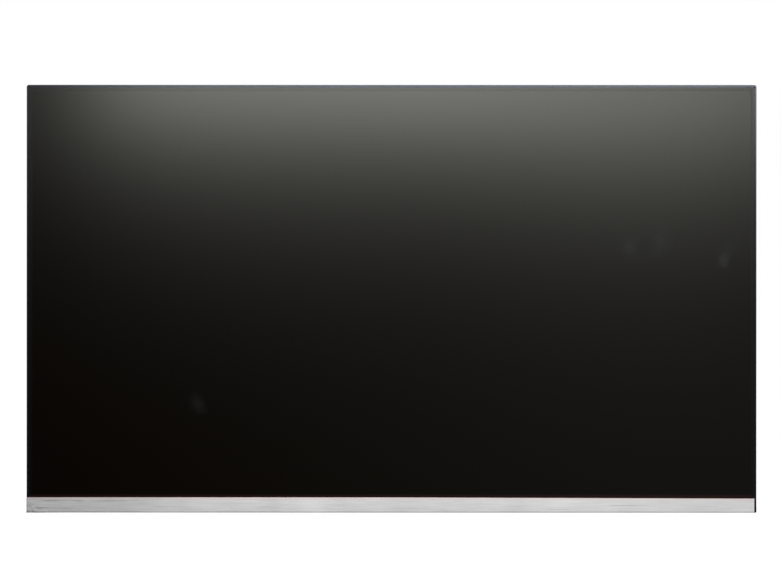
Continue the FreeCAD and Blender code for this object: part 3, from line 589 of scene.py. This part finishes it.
flexLook = {
    "driver_films": {"base": (0.30, 0.13, 0.022), "line": (0.50, 0.24, 0.06), "perMm": 4.0},
    "led_tail": {"base": (0.34, 0.16, 0.03), "line": (0.52, 0.27, 0.08), "perMm": 0.6},
}
flexFinish = {
    "slowPerMm": 0.2, "slowRange": (0.2, 0.8), "shade": 0.8,
    "roughness": (0.28, 0.42), "bump": (0.3, 0.01 * mm),
}


def flexFilm(name, look, finish):
    material, tree, shader = newMaterial("flex_" + name, finish)
    point = inMillimetres(tree)
    line = linesAlong(tree, axes(tree, point)["X"], look["perMm"])
    slow = clouds(tree, point, finish["slowPerMm"], detail=3.0)
    color = shaded(tree, slow, tint(tree, line, look["base"], look["line"]), finish["shade"])
    roughness = remap(tree, slow, *finish["slowRange"], *finish["roughness"])
    feed(tree, shader, color, roughness, line, finish["bump"])
    return material


for node, look in flexLook.items():
    dress(flexFilm(node, look, flexFinish), node)


# optical sheets and the light guide: a fine regular pattern on each

opticLook = {
    "upper_prism_sheet": {"base": (0.80, 0.82, 0.83), "mark": (0.90, 0.92, 0.93), "kind": "ridges"},
    "lower_prism_sheet": {"base": (0.78, 0.80, 0.82), "mark": (0.88, 0.90, 0.92), "kind": "ridges"},
    "diffuser_sheet": {"base": grey(0.84), "mark": grey(0.92), "kind": "beads"},
    "light_guide": {"base": (0.78, 0.85, 0.85), "mark": (0.94, 0.95, 0.95), "kind": "dots"},
    "reflector_sheet": {"base": grey(0.88), "mark": grey(0.94), "kind": "beads"},
}
opticFinish = {
    "ridgesPerMm": 8.0, "dotsPerMm": 0.9, "dotRange": (0.35, 0.25), "beadsPerMm": 5.0,
    "roughness": (0.2, 0.45), "bump": (0.2, 0.02 * mm),
}


def opticPattern(tree, kind, finish):
    point = inMillimetres(tree)
    if kind == "ridges":
        return linesAlong(tree, axes(tree, point)["Z"], finish["ridgesPerMm"])
    if kind == "dots":
        return remap(tree, cells(tree, point, finish["dotsPerMm"]), *finish["dotRange"])
    return clouds(tree, point, finish["beadsPerMm"])


def opticSheet(name, look, finish):
    material, tree, shader = newMaterial("optic_" + name, finish)
    pattern = opticPattern(tree, look["kind"], finish)
    color = tint(tree, pattern, look["base"], look["mark"])
    roughness = remap(tree, pattern, 0.0, 1.0, *finish["roughness"])
    feed(tree, shader, color, roughness, pattern, finish["bump"])
    return material


for node, look in opticLook.items():
    dress(opticSheet(node, look, opticFinish), node)


# the remaining small pieces: one grained finish, each with its own values

grainDepth = 0.01 * mm  # of every bump below
skinLook = {
    "cellGlass": {
        "nodes": ["color_filter_glass", "array_glass"], "gloss": 0.12, "bump": 0.0,
        "Light": (0.0040, 0.0042, 0.0060), "Dark": (0.0030, 0.0032, 0.0045),
        "Grain": 0.4, "Smooth": 0.22, "Rough": 0.27,
    },
    "rearFilm": {
        "nodes": ["rear_polarizer"], "gloss": 0.3, "bump": 0.02,
        "Light": (0.06, 0.06, 0.07), "Dark": (0.045, 0.045, 0.055),
        "Grain": 2.0, "Smooth": 0.3, "Rough": 0.4,
    },
    "foamTape": {
        "nodes": ["cell_tape"], "gloss": 0.2, "bump": 0.6,
        "Light": grey(0.035), "Dark": grey(0.015),
        "Grain": 5.0, "Smooth": 0.8, "Rough": 0.95,
    },
    "barePolishedDie": {
        "nodes": ["driver_chips"], "gloss": 0.7, "bump": 0.05,
        "Light": (0.075, 0.075, 0.095), "Dark": (0.05, 0.05, 0.07),
        "Grain": 3.0, "Smooth": 0.12, "Rough": 0.22,
    },
    "insulatorFilm": {
        "nodes": ["board_insulator"], "bump": 0.1,
        "Light": (0.022, 0.022, 0.023), "Dark": (0.013, 0.013, 0.014),
        "Grain": 2.0, "Smooth": 0.28, "Rough": 0.40,
    },
    "chipEpoxy": {
        "nodes": ["timing_chip", "power_chip"], "gloss": 0.4, "bump": 0.3,
        "Light": (0.030, 0.030, 0.031), "Dark": (0.016, 0.016, 0.017),
        "Grain": 9.0, "Smooth": 0.45, "Rough": 0.62,
    },
    "socketNylon": {
        "nodes": ["signal_socket_housing", "backlight_socket"], "gloss": 0.4, "bump": 0.15,
        "Light": (0.80, 0.76, 0.64), "Dark": (0.72, 0.68, 0.56),
        "Grain": 4.0, "Smooth": 0.38, "Rough": 0.50,
    },
    "padRubber": {
        "nodes": ["light_guide_pads"], "gloss": 0.25, "bump": 0.3,
        "Light": grey(0.06), "Dark": grey(0.035),
        "Grain": 3.0, "Smooth": 0.65, "Rough": 0.85,
    },
    "thermalTape": {
        "nodes": ["led_tape"], "gloss": 0.3, "bump": 0.2,
        "Light": (0.70, 0.70, 0.68), "Dark": (0.60, 0.60, 0.58),
        "Grain": 2.5, "Smooth": 0.6, "Rough": 0.8,
    },
    "whiteMask": {
        "nodes": ["led_board"], "bump": 0.1,
        "Light": (0.84, 0.84, 0.81), "Dark": (0.76, 0.76, 0.73),
        "Grain": 3.0, "Smooth": 0.3, "Rough": 0.42,
    },
    "zincPlate": {
        "Light": (0.66, 0.66, 0.67), "Dark": (0.52, 0.52, 0.54),
        "Grain": 3.0, "Smooth": 0.24, "Rough": 0.36, "metal": 1.0, "bump": 0.1,
    },
    "solderTin": {
        "Light": (0.72, 0.72, 0.71), "Dark": grey(0.56),
        "Grain": 5.0, "Smooth": 0.26, "Rough": 0.40, "metal": 1.0, "bump": 0.2,
    },
    "goldPlate": {
        "Light": (0.86, 0.64, 0.26), "Dark": (0.70, 0.50, 0.19),
        "Grain": 5.0, "Smooth": 0.22, "Rough": 0.34, "metal": 1.0, "bump": 0.1,
    },
    "ceramicTan": {
        "Light": (0.44, 0.30, 0.18), "Dark": (0.34, 0.22, 0.12),
        "Grain": 6.0, "Smooth": 0.40, "Rough": 0.55, "gloss": 0.45, "bump": 0.2,
    },
    "ferriteGrey": {
        "Light": grey(0.14), "Dark": grey(0.085),
        "Grain": 6.0, "Smooth": 0.5, "Rough": 0.7, "gloss": 0.35, "bump": 0.35,
    },
    "ledCup": {
        "Light": (0.86, 0.86, 0.84), "Dark": (0.78, 0.78, 0.76),
        "Grain": 4.0, "Smooth": 0.3, "Rough": 0.42, "bump": 0.05,
    },
    "ledPhosphor": {
        "Light": (0.90, 0.72, 0.16), "Dark": (0.80, 0.60, 0.10),
        "Grain": 8.0, "Smooth": 0.3, "Rough": 0.45, "bump": 0.1,
    },
}


def grainedFinish(name, look):
    material, tree, shader = newMaterial(name, look)
    skin = useGroup(tree, mouldedSkin, look)
    feed(tree, shader, skin["Color"], skin["Roughness"], skin["Height"], (look["bump"], grainDepth))
    dress(material, *look.get("nodes", []))
    return material


finishes = {name: grainedFinish(name, look) for name, look in skinLook.items()}
print("small finishes done:", len(finishes))


# tools for repeated pieces

def solidBoxes(name):  # the box of each separate solid in a CAD node
    mesh = nodes[name].data
    spots = {}
    keys = [spots.setdefault(tuple(round(c, 6) for c in v.co), len(spots)) for v in mesh.vertices]
    leader = list(range(len(spots)))

    def find(key):
        while leader[key] != key:
            key = leader[key]
        return key

    for polygon in mesh.polygons:
        first = find(keys[polygon.vertices[0]])
        for vertex in polygon.vertices[1:]:
            leader[find(keys[vertex])] = first
    islands = {}
    for spot, key in spots.items():
        islands.setdefault(find(key), []).append(spot)
    boxes = []
    for points in islands.values():
        low = Vector([min(p[i] for p in points) for i in range(3)])
        high = Vector([max(p[i] for p in points) for i in range(3)])
        boxes.append((low, high))
    return sorted(boxes, key=lambda box: (round(box[0].x, 5), round(box[0].z, 5)))


def middle(box):
    return (box[0] + box[1]) / 2


def evenly(count, pitch):  # places in a row about its middle
    return [(i - (count - 1) / 2) * pitch for i in range(count)]


def geometryTree(name, sizes):  # a tree whose shape is set on every point of its carrier
    inputs = {"Geometry": "Geometry", "Finish": "Material"}
    inputs.update({label: "Float" for label in sizes})
    return newTree(name, "GeometryNodeTree", inputs, {"Geometry": "Geometry"})


def shape(tree, kind, wires=None, **settings):  # what one geometry node makes
    return place(tree, "GeometryNode" + kind, wires, **settings).outputs[0]


def joined(tree, *shapes):
    join = place(tree, "GeometryNodeJoinGeometry")
    for item in shapes:
        tree.links.new(item, join.inputs[0])
    return join.outputs[0]


def moved(tree, item, offset=(0, 0, 0), turn=(0, 0, 0)):
    return shape(tree, "Transform", {"Geometry": item, "Translation": offset, "Rotation": turn})


def bentTo(tree, item, position):
    return shape(tree, "SetPosition", {"Geometry": item, "Position": position})


def swept(tree, path, section):
    return shape(tree, "CurveToMesh", {"Curve": path, "Profile Curve": section, "Fill Caps": True})


def rectangle(tree, width, height):
    return shape(tree, "CurvePrimitiveQuadrilateral", {"Width": width, "Height": height})


def circle(tree, radius, sides):
    return shape(tree, "CurvePrimitiveCircle", {"Resolution": sides, "Radius": radius})


def threadRidge(tree, radius, height, turns, rise, steps):  # a small square ridge along a helix
    wires = {
        "Resolution": steps, "Rotations": turns, "Start Radius": radius, "End Radius": radius,
        "Height": height,
    }
    helix = shape(tree, "CurveSpiral", wires)
    return swept(tree, helix, circle(tree, rise, sides=4))


def setOnPoints(tree, given, made, item, turn=None):  # the end of every tree
    wires = {"Points": given["Geometry"], "Instance": item}
    if turn is not None:
        wires["Rotation"] = turn
    copies = shape(tree, "InstanceOnPoints", wires)
    real = shape(tree, "RealizeInstances", {"Geometry": copies})
    painted = shape(tree, "SetMaterial", {"Geometry": real, "Material": given["Finish"]})
    tree.links.new(painted, made["Geometry"])
    return tree


smoothAngle = math.radians(35.0)  # edges sharper than this stay sharp


def repeatPiece(name, tree, points, sizes, finish, replaced=None):
    carrier = bpy.data.objects.new(name + "Carrier", bpy.data.meshes.new(name + "Points"))
    carrier.data.from_pydata([tuple(point) for point in points], [], [])
    scene.collection.objects.link(carrier)
    modifier = carrier.modifiers.new(name, "NODES")
    modifier.node_group = tree
    values = dict(sizes, Finish=finishes[finish])
    for item in tree.interface.items_tree:
        if item.in_out == "INPUT" and item.name in values:
            modifier[item.identifier] = values[item.name]
    depsgraph = bpy.context.evaluated_depsgraph_get()
    mesh = bpy.data.meshes.new_from_object(carrier.evaluated_get(depsgraph), depsgraph=depsgraph)
    carrier.modifiers.remove(modifier)
    bpy.data.objects.remove(carrier)
    mesh.shade_smooth()
    mesh.set_sharp_from_angle(angle=smoothAngle)
    piece = bpy.data.objects.new(name, mesh)
    scene.collection.objects.link(piece)
    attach(piece, "root")
    if replaced:
        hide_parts(replaced)
    print("piece", name, len(mesh.polygons), "faces")


def barSizes(length, depth, height, corner):
    return {"Length": length, "Depth": depth, "Height": height, "Corner": corner}


def buildBarTree(cornerSteps):  # a bar along X with rounded long edges
    tree, given, made = geometryTree("roundedBar", ("Length", "Depth", "Height", "Corner"))
    half = times(tree, given["Length"], 0.5)
    ends = {"Start": triple(tree, x=times(tree, half, -1.0)), "End": triple(tree, x=half)}
    path = shape(tree, "CurvePrimitiveLine", ends)
    outline = rectangle(tree, given["Depth"], given["Height"])
    wires = {"Curve": outline, "Count": cornerSteps, "Radius": given["Corner"]}
    section = shape(tree, "FilletCurve", wires, mode="POLY")
    return setOnPoints(tree, given, made, swept(tree, path, section))


barTree = buildBarTree(cornerSteps=3)


# ceramic chip capacitors: a body between two tinned ends

capacitorLook = {"endShare": 0.22, "bodyInset": 0.04 * mm, "bodyCorner": 0.05 * mm, "endCorner": 0.09 * mm}


def chipParts(prefix, node, look, bodyFinish):
    boxes = solidBoxes(node)
    size = boxes[0][1] - boxes[0][0]
    endLength = size.x * look["endShare"]
    inset = look["bodyInset"]
    body = barSizes(size.x - endLength, size.y - 2 * inset, size.z - 2 * inset, look["bodyCorner"])
    ends = barSizes(endLength, size.y, size.z, look["endCorner"])
    shift = Vector(((size.x - endLength) / 2, 0, 0))
    middles = [middle(box) for box in boxes]
    endSpots = [spot + side * shift for spot in middles for side in (-1, 1)]
    repeatPiece(prefix + "_bodies", barTree, middles, body, bodyFinish, node)
    repeatPiece(prefix + "_ends", barTree, endSpots, ends, "solderTin")


chipParts("capacitor", "board_capacitors", capacitorLook, "ceramicTan")


# power inductors: a ferrite block between two wide ends

inductorLook = {"endShare": 0.2, "bodyInset": 0.06 * mm, "bodyCorner": 0.25 * mm, "endCorner": 0.2 * mm}

chipParts("inductor", "board_inductors", inductorLook, "ferriteGrey")


# leads round the power chip's foot

leadLook = {
    "perSide": 6, "pitch": 0.65 * mm, "length": 0.5 * mm, "width": 0.3 * mm, "height": 0.16 * mm,
    "corner": 0.04 * mm,
}


def chipLeads(look):
    low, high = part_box("power_chip")
    centreZ = middle((low, high)).z
    y = low.y + look["height"] / 2
    spots = []
    for along in evenly(look["perSide"], look["pitch"]):
        spots += [(x, y, centreZ + along) for x in (low.x, high.x)]
    sizes = barSizes(look["length"], look["height"], look["width"], look["corner"])
    repeatPiece("power_chip_leads", barTree, spots, sizes, "solderTin")


chipLeads(leadLook)


# LED packages: a white cup with a phosphor window towards the light guide

ledLook = {
    "corner": 0.12 * mm, "windowMargin": 0.3 * mm, "windowHeight": 0.1 * mm, "windowCorner": 0.06 * mm,
}


def ledRow(look):
    boxes = solidBoxes("leds")
    size = boxes[0][1] - boxes[0][0]
    rise, margin = look["windowHeight"], look["windowMargin"]
    cup = barSizes(size.x, size.y, size.z - rise, look["corner"])
    window = barSizes(size.x - 2 * margin, size.y - 2 * margin, 2 * rise, look["windowCorner"])
    cups = [middle(box) - Vector((0, 0, rise / 2)) for box in boxes]
    windows = [middle(box) + Vector((0, 0, size.z / 2 - rise)) for box in boxes]
    repeatPiece("led_cups", barTree, cups, cup, "ledCup", "leds")
    repeatPiece("led_windows", barTree, windows, window, "ledPhosphor")


ledRow(ledLook)


# signal socket contacts: bent blades from the solder foot into the mouth

contactLook = {
    "sizes": {"Foot": 1.0 * mm, "Blade": 4.0 * mm, "Rise": 0.5 * mm, "Thickness": 0.12 * mm},
    "steps": 24,
    "bend": (0.15, 0.5),  # shares of the length between which it rises
}


def buildContactTree(look, sizes):
    tree, given, made = geometryTree("bentContact", sizes)
    line = shape(tree, "MeshLine", {"Count": look["steps"]})
    index = shape(tree, "InputIndex")
    share = maths(tree, "DIVIDE", index, look["steps"] - 1)
    total = maths(tree, "ADD", given["Foot"], given["Blade"])
    z = minus(tree, times(tree, share, total), given["Foot"])
    y = times(tree, remap(tree, share, *look["bend"]), given["Rise"])
    bent = bentTo(tree, line, triple(tree, y=y, z=z))
    path = shape(tree, "MeshToCurve", {"Mesh": bent})
    section = rectangle(tree, given["Thickness"], given["Width"])
    return setOnPoints(tree, given, made, swept(tree, path, section))


def socketContacts(look):
    boxes = solidBoxes("signal_socket_contacts")
    sizes = dict(look["sizes"], Width=boxes[0][1].x - boxes[0][0].x)
    spots = [(middle(box).x, box[0].y + sizes["Thickness"] / 2, box[1].z) for box in boxes]
    tree = buildContactTree(look, sizes)
    repeatPiece("socket_contacts", tree, spots, sizes, "goldPlate", "signal_socket_contacts")


socketContacts(contactLook)


# board screws: low round heads with a cross recess, threaded shanks

screwLook = {
    "sizes": {
        "Head Height": 0.8 * mm, "Shank Radius": 0.72 * mm,
        "Thread Rise": 0.08 * mm, "Thread Turns": 5.0,
        "Recess Arm": 2.0 * mm, "Recess Width": 0.48 * mm, "Recess Depth": 0.45 * mm,
        "Crown": 0.42,  # how much the head draws in towards its top
    },
    "crownPower": 2.5,
    "headSides": 40,
    "headRings": 8,
    "shankSides": 24,
    "threadSteps": 20,  # points in each turn
    "seed": 7,
}


def cylinder(tree, radius, depth, sides, rings):
    wires = {"Vertices": sides, "Side Segments": rings, "Radius": radius, "Depth": depth}
    return shape(tree, "MeshCylinder", wires)


def crownedHead(tree, given, look):
    disc = cylinder(tree, given["Head Radius"], given["Head Height"], look["headSides"], look["headRings"])
    along = axes(tree, shape(tree, "InputPosition"))
    share = maths(tree, "ADD", maths(tree, "DIVIDE", along["Z"], given["Head Height"]), 0.5)
    drawIn = times(tree, maths(tree, "POWER", share, look["crownPower"]), given["Crown"])
    keep = maths(tree, "SQRT", minus(tree, 1.0, drawIn))
    x = times(tree, along["X"], keep)
    y = times(tree, along["Y"], keep)
    return bentTo(tree, disc, triple(tree, x, y, along["Z"]))


def buildScrewTree(look, sizes):
    tree, given, made = geometryTree("crossScrew", sizes)
    head = crownedHead(tree, given, look)
    deep = times(tree, given["Recess Depth"], 2.0)  # half of it stands above the head
    halfHead = triple(tree, z=times(tree, given["Head Height"], 0.5))
    cut = place(tree, "GeometryNodeMeshBoolean", {"Mesh 1": head}, operation="DIFFERENCE", solver="EXACT")
    for across, up in (("Recess Arm", "Recess Width"), ("Recess Width", "Recess Arm")):
        size = triple(tree, given[across], given[up], deep)
        arm = shape(tree, "MeshCube", {"Size": size})
        tree.links.new(moved(tree, arm, halfHead), cut.inputs["Mesh 2"])
    radius, length = given["Shank Radius"], given["Shank Length"]
    down = triple(tree, z=times(tree, length, -0.5))
    shank = cylinder(tree, radius, length, look["shankSides"], rings=1)
    turns, rise = given["Thread Turns"], given["Thread Rise"]
    thread = moved(tree, threadRidge(tree, radius, length, turns, rise, look["threadSteps"]), down)
    stem = moved(tree, joined(tree, shank, thread), down)
    whole = joined(tree, moved(tree, cut.outputs[0], halfHead), stem)
    facing = moved(tree, whole, turn=(-math.pi / 2, 0, 0))  # the head looks along +Y
    wires = {2: 0.0, 3: math.pi, 8: look["seed"]}  # least and most turn, seed
    turn = place(tree, "FunctionNodeRandomValue", wires, data_type="FLOAT").outputs[1]
    return setOnPoints(tree, given, made, facing, triple(tree, y=turn))


def boardScrews(look):
    boxes = solidBoxes("board_screws")
    low, high = boxes[0]
    sizes = dict(look["sizes"])
    seat = high.y - sizes["Head Height"]
    sizes["Head Radius"] = (high.z - low.z) / 2
    sizes["Shank Length"] = seat - low.y
    spots = [(middle(box).x, seat, middle(box).z) for box in boxes]
    tree = buildScrewTree(look, sizes)
    repeatPiece("cross_screws", tree, spots, sizes, "zincPlate", "board_screws")


boardScrews(screwLook)


# threads in the four rear mounting holes

threadLook = {
    "sizes": {"Depth": 1.15 * mm, "Rise": 0.17 * mm},
    "pitch": 0.5 * mm,
    "start": -0.2 * mm,  # y of its first turn
    "steps": 28,
}


def buildThreadTree(look, sizes):
    tree, given, made = geometryTree("holeThread", sizes)
    radius, depth = given["Radius"], given["Depth"]
    ridge = threadRidge(tree, radius, depth, given["Turns"], given["Rise"], look["steps"])
    return setOnPoints(tree, given, made, moved(tree, ridge, turn=(math.pi / 2, 0, 0)))


def mountThreads(look):
    mount = next(m for m in frame["record"]["mounts"] if m["name"] == "rear_mount_holes")
    dims = mount["dims"]
    across = dims["spacing_x_mm"] * mm / 2
    up = dims["spacing_y_mm"] * mm / 2
    spots = [(x, look["start"], z) for x in (-across, across) for z in (-up, up)]
    sizes = dict(look["sizes"], Radius=dims["hole_r_mm"] * mm)
    sizes["Turns"] = sizes["Depth"] / look["pitch"]
    tree = buildThreadTree(look, sizes)
    repeatPiece("mount_threads", tree, spots, sizes, "zincPlate")


mountThreads(threadLook)


# plated vias and test points along the open band of the driver board

viaLook = {
    "sizes": {"Radius": 0.42 * mm, "Width": 0.36 * mm, "Height": 0.06 * mm},
    "sides": 18,
    "edgeAboveFeet": 0.7 * mm,  # from the top of the shield's feet to the board's long upper edge
    "bandPitch": 5.5 * mm,
    "bandDrop": 1.5 * mm,  # below that edge
    "tabRise": 1.3 * mm,  # from that edge up to the first row on the tab
    "tabRows": 3, "tabColumns": 18,
    "rowPitch": 2.4 * mm,
    "rowShift": 2.1 * mm,  # every second row
    "columnPitch": 7.4 * mm,
    "clear": 1.6 * mm,
    "footSide": 5.0 * mm,  # how far a foot of the shield reaches past its screw
    "footTop": 2.0 * mm,
}


def buildViaTree(look):
    tree, given, made = geometryTree("platedVia", look["sizes"])
    path = circle(tree, given["Radius"], look["sides"])
    ring = swept(tree, path, rectangle(tree, given["Width"], given["Height"]))
    return setOnPoints(tree, given, made, moved(tree, ring, turn=(-math.pi / 2, 0, 0)))


def clearOf(spot, boxes, gap):
    for low, high in boxes:
        inX = low.x - gap < spot[0] < high.x + gap
        inZ = low.z - gap < spot[2] < high.z + gap
        if inX and inZ:
            return False
    return True


def boardVias(look):
    low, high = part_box("driver_board")
    screws = solidBoxes("board_screws")
    taken = solidBoxes("board_capacitors") + solidBoxes("board_inductors") + screws
    taken += [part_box(node) for node in ("power_chip", "signal_socket_shell", "signal_socket_contacts")]
    side, top = Vector((look["footSide"], 0, 0)), Vector((0, 0, look["footTop"]))
    taken += [(box[0] - side, box[1] + side + top) for box in screws]
    y = high.y + look["sizes"]["Height"] / 2
    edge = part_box("board_shield")[1].z + look["edgeAboveFeet"]
    count = int((high.x - low.x) / look["bandPitch"]) - 1
    spots = [(x, y, edge - look["bandDrop"]) for x in evenly(count, look["bandPitch"])]
    for row in range(look["tabRows"]):
        z = edge + look["tabRise"] + row * look["rowPitch"]
        shift = (row % 2) * look["rowShift"]
        spots += [(x + shift, y, z) for x in evenly(look["tabColumns"], look["columnPitch"])]
    spots = [spot for spot in spots if clearOf(spot, taken, look["clear"])]
    repeatPiece("board_vias", buildViaTree(look), spots, look["sizes"], "goldPlate")


boardVias(viaLook)
print("repeated pieces done")


# floor: white where it is seen, with the object's shadow kept

floorLook = {
    "drop": 0.30,  # below the panel, which hangs by its mounting holes
    "front": 0.45, "back": 9.0, "side": 9.0,  # how far it reaches from the panel
    "base": grey(0.78),
    "dull": grey(0.7566),
    "mottleScale": 3.0,
    "mottleRange": (0.3, 0.7),
    "seen": grey(0.36),
    "white": (1.0, 1.0, 1.0),
    "lift": 0.88,
}


def eyeRays(tree):  # two masks: rays of the camera, and those by way of a mirror or glass
    rays = place(tree, "ShaderNodeLightPath").outputs
    mirrored = maths(tree, "MAXIMUM", rays["Is Glossy Ray"], rays["Is Transmission Ray"])
    return rays["Is Camera Ray"], mirrored


def paleFloor(look):
    material, tree, shader = newMaterial("paleFloor", look)
    tree.nodes.remove(shader)
    mottle = clouds(tree, objectPoint(tree), look["mottleScale"], detail=3.0)
    mottle = remap(tree, mottle, *look["mottleRange"])
    mottled = tint(tree, mottle, look["base"], look["dull"])
    base = place(tree, "ShaderNodeBsdfDiffuse", {"Color": mottled}).outputs[0]
    shadow = place(tree, "ShaderNodeBsdfDiffuse", {"Color": look["seen"]}).outputs[0]
    wires = {"Color": look["white"], "Strength": look["lift"]}
    lift = place(tree, "ShaderNodeEmission", wires).outputs[0]
    white = place(tree, "ShaderNodeAddShader", {0: shadow, 1: lift}).outputs[0]
    seen = maths(tree, "MAXIMUM", *eyeRays(tree))
    mix = place(tree, "ShaderNodeMixShader", {0: seen, 1: base, 2: white}).outputs[0]
    tree.links.new(mix, tree.nodes["Material Output"].inputs["Surface"])
    return material


def layFloor(look):
    mesh = bpy.data.meshes.new("floor")
    z = cadLow.z - look["drop"]
    side, front, back = look["side"], -look["front"], look["back"]
    corners = [(-side, front, z), (side, front, z), (side, back, z), (-side, back, z)]
    mesh.from_pydata(corners, [], [(0, 1, 2, 3)])
    mesh.materials.append(paleFloor(look))
    floor = bpy.data.objects.new("floor", mesh)
    scene.collection.objects.link(floor)


layFloor(floorLook)


# studio world: plain grey fill, white where it is seen

worldLook = {
    "fill": grey(0.36),
    "white": (1.0, 1.0, 1.0),
    "roomLeft": grey(0.01),  # the dim room in front of the screen, as the screen mirrors it
    "roomRight": (0.46, 0.457, 0.455),
    "acrossRoom": (-0.18, 0.16),  # heading in X over which the room's left turns into its right
    "roomEnd": (0.2, 0.7),  # heading in Y over which the room gives way to white
}


def studioWorld(look):
    world = bpy.data.worlds.new("studioWorld")
    world.use_nodes = True
    tree = world.node_tree
    direct, mirrored = eyeRays(tree)
    heading = axes(tree, place(tree, "ShaderNodeTexCoord").outputs["Generated"])
    behind = remap(tree, heading["Y"], *look["roomEnd"])
    toRight = remap(tree, heading["X"], *look["acrossRoom"])
    room = tint(tree, toRight, look["roomLeft"], look["roomRight"])
    background = tint(tree, behind, room, look["white"])
    color = tint(tree, mirrored, look["fill"], background)
    color = tint(tree, direct, color, look["white"])
    tree.links.new(color, tree.nodes["Background"].inputs["Color"])
    scene.world = world


studioWorld(worldLook)


# lamps, all turned to the middle of the panel: one wide box in front, two softer ones behind

lampLook = {
    "frontBox": {"spot": (0.08, -1.21, 0.342), "size": (1.06, 0.12), "watts": 19.2, "roll": -1.3},
    "backBox": {"spot": (-0.7, 1.3, 0.95), "size": (0.9, 0.5), "watts": 10.0, "roll": 0.0},
    "backFill": {"spot": (1.1, 1.1, 0.25), "size": (0.5, 0.9), "watts": 4.0, "roll": 0.0},
}


def hangLamp(name, look):
    light = bpy.data.lights.new(name, "AREA")
    light.shape = "RECTANGLE"
    light.size, light.size_y = look["size"]
    light.energy = look["watts"]
    lamp = bpy.data.objects.new(name, light)
    lamp.location = look["spot"]
    lamp.rotation_euler = (-Vector(look["spot"])).to_track_quat("-Z", "Y").to_euler()
    lamp.rotation_euler.rotate_axis("Z", math.radians(look["roll"]))
    scene.collection.objects.link(lamp)


for name, look in lampLook.items():
    hangLamp(name, look)


# camera: square on to the screen, as in the photograph

cameraLook = {
    "distance": 1.15,
    "seenWidth": 572.85 * mm,  # width of the picture at the screen
    "aim": (-0.40 * mm, 3.54 * mm),  # x and z at the middle of the picture
    "sensor": 36.0,
    "roll": -0.02,  # degrees, right side low
    "clip": (0.05, 50.0),
}


def setCamera(look):
    data = bpy.data.cameras.new("photoCamera")
    data.sensor_width = look["sensor"]
    data.lens = look["sensor"] * look["distance"] / look["seenWidth"]
    data.clip_start, data.clip_end = look["clip"]
    camera = bpy.data.objects.new("photoCamera", data)
    x, z = look["aim"]
    camera.location = (x, cadLow.y - look["distance"], z)
    camera.rotation_euler = (math.pi / 2, math.radians(look["roll"]), 0.0)
    scene.collection.objects.link(camera)
    scene.camera = camera


setCamera(cameraLook)
scene.view_settings.view_transform = "Standard"
print("studio set")
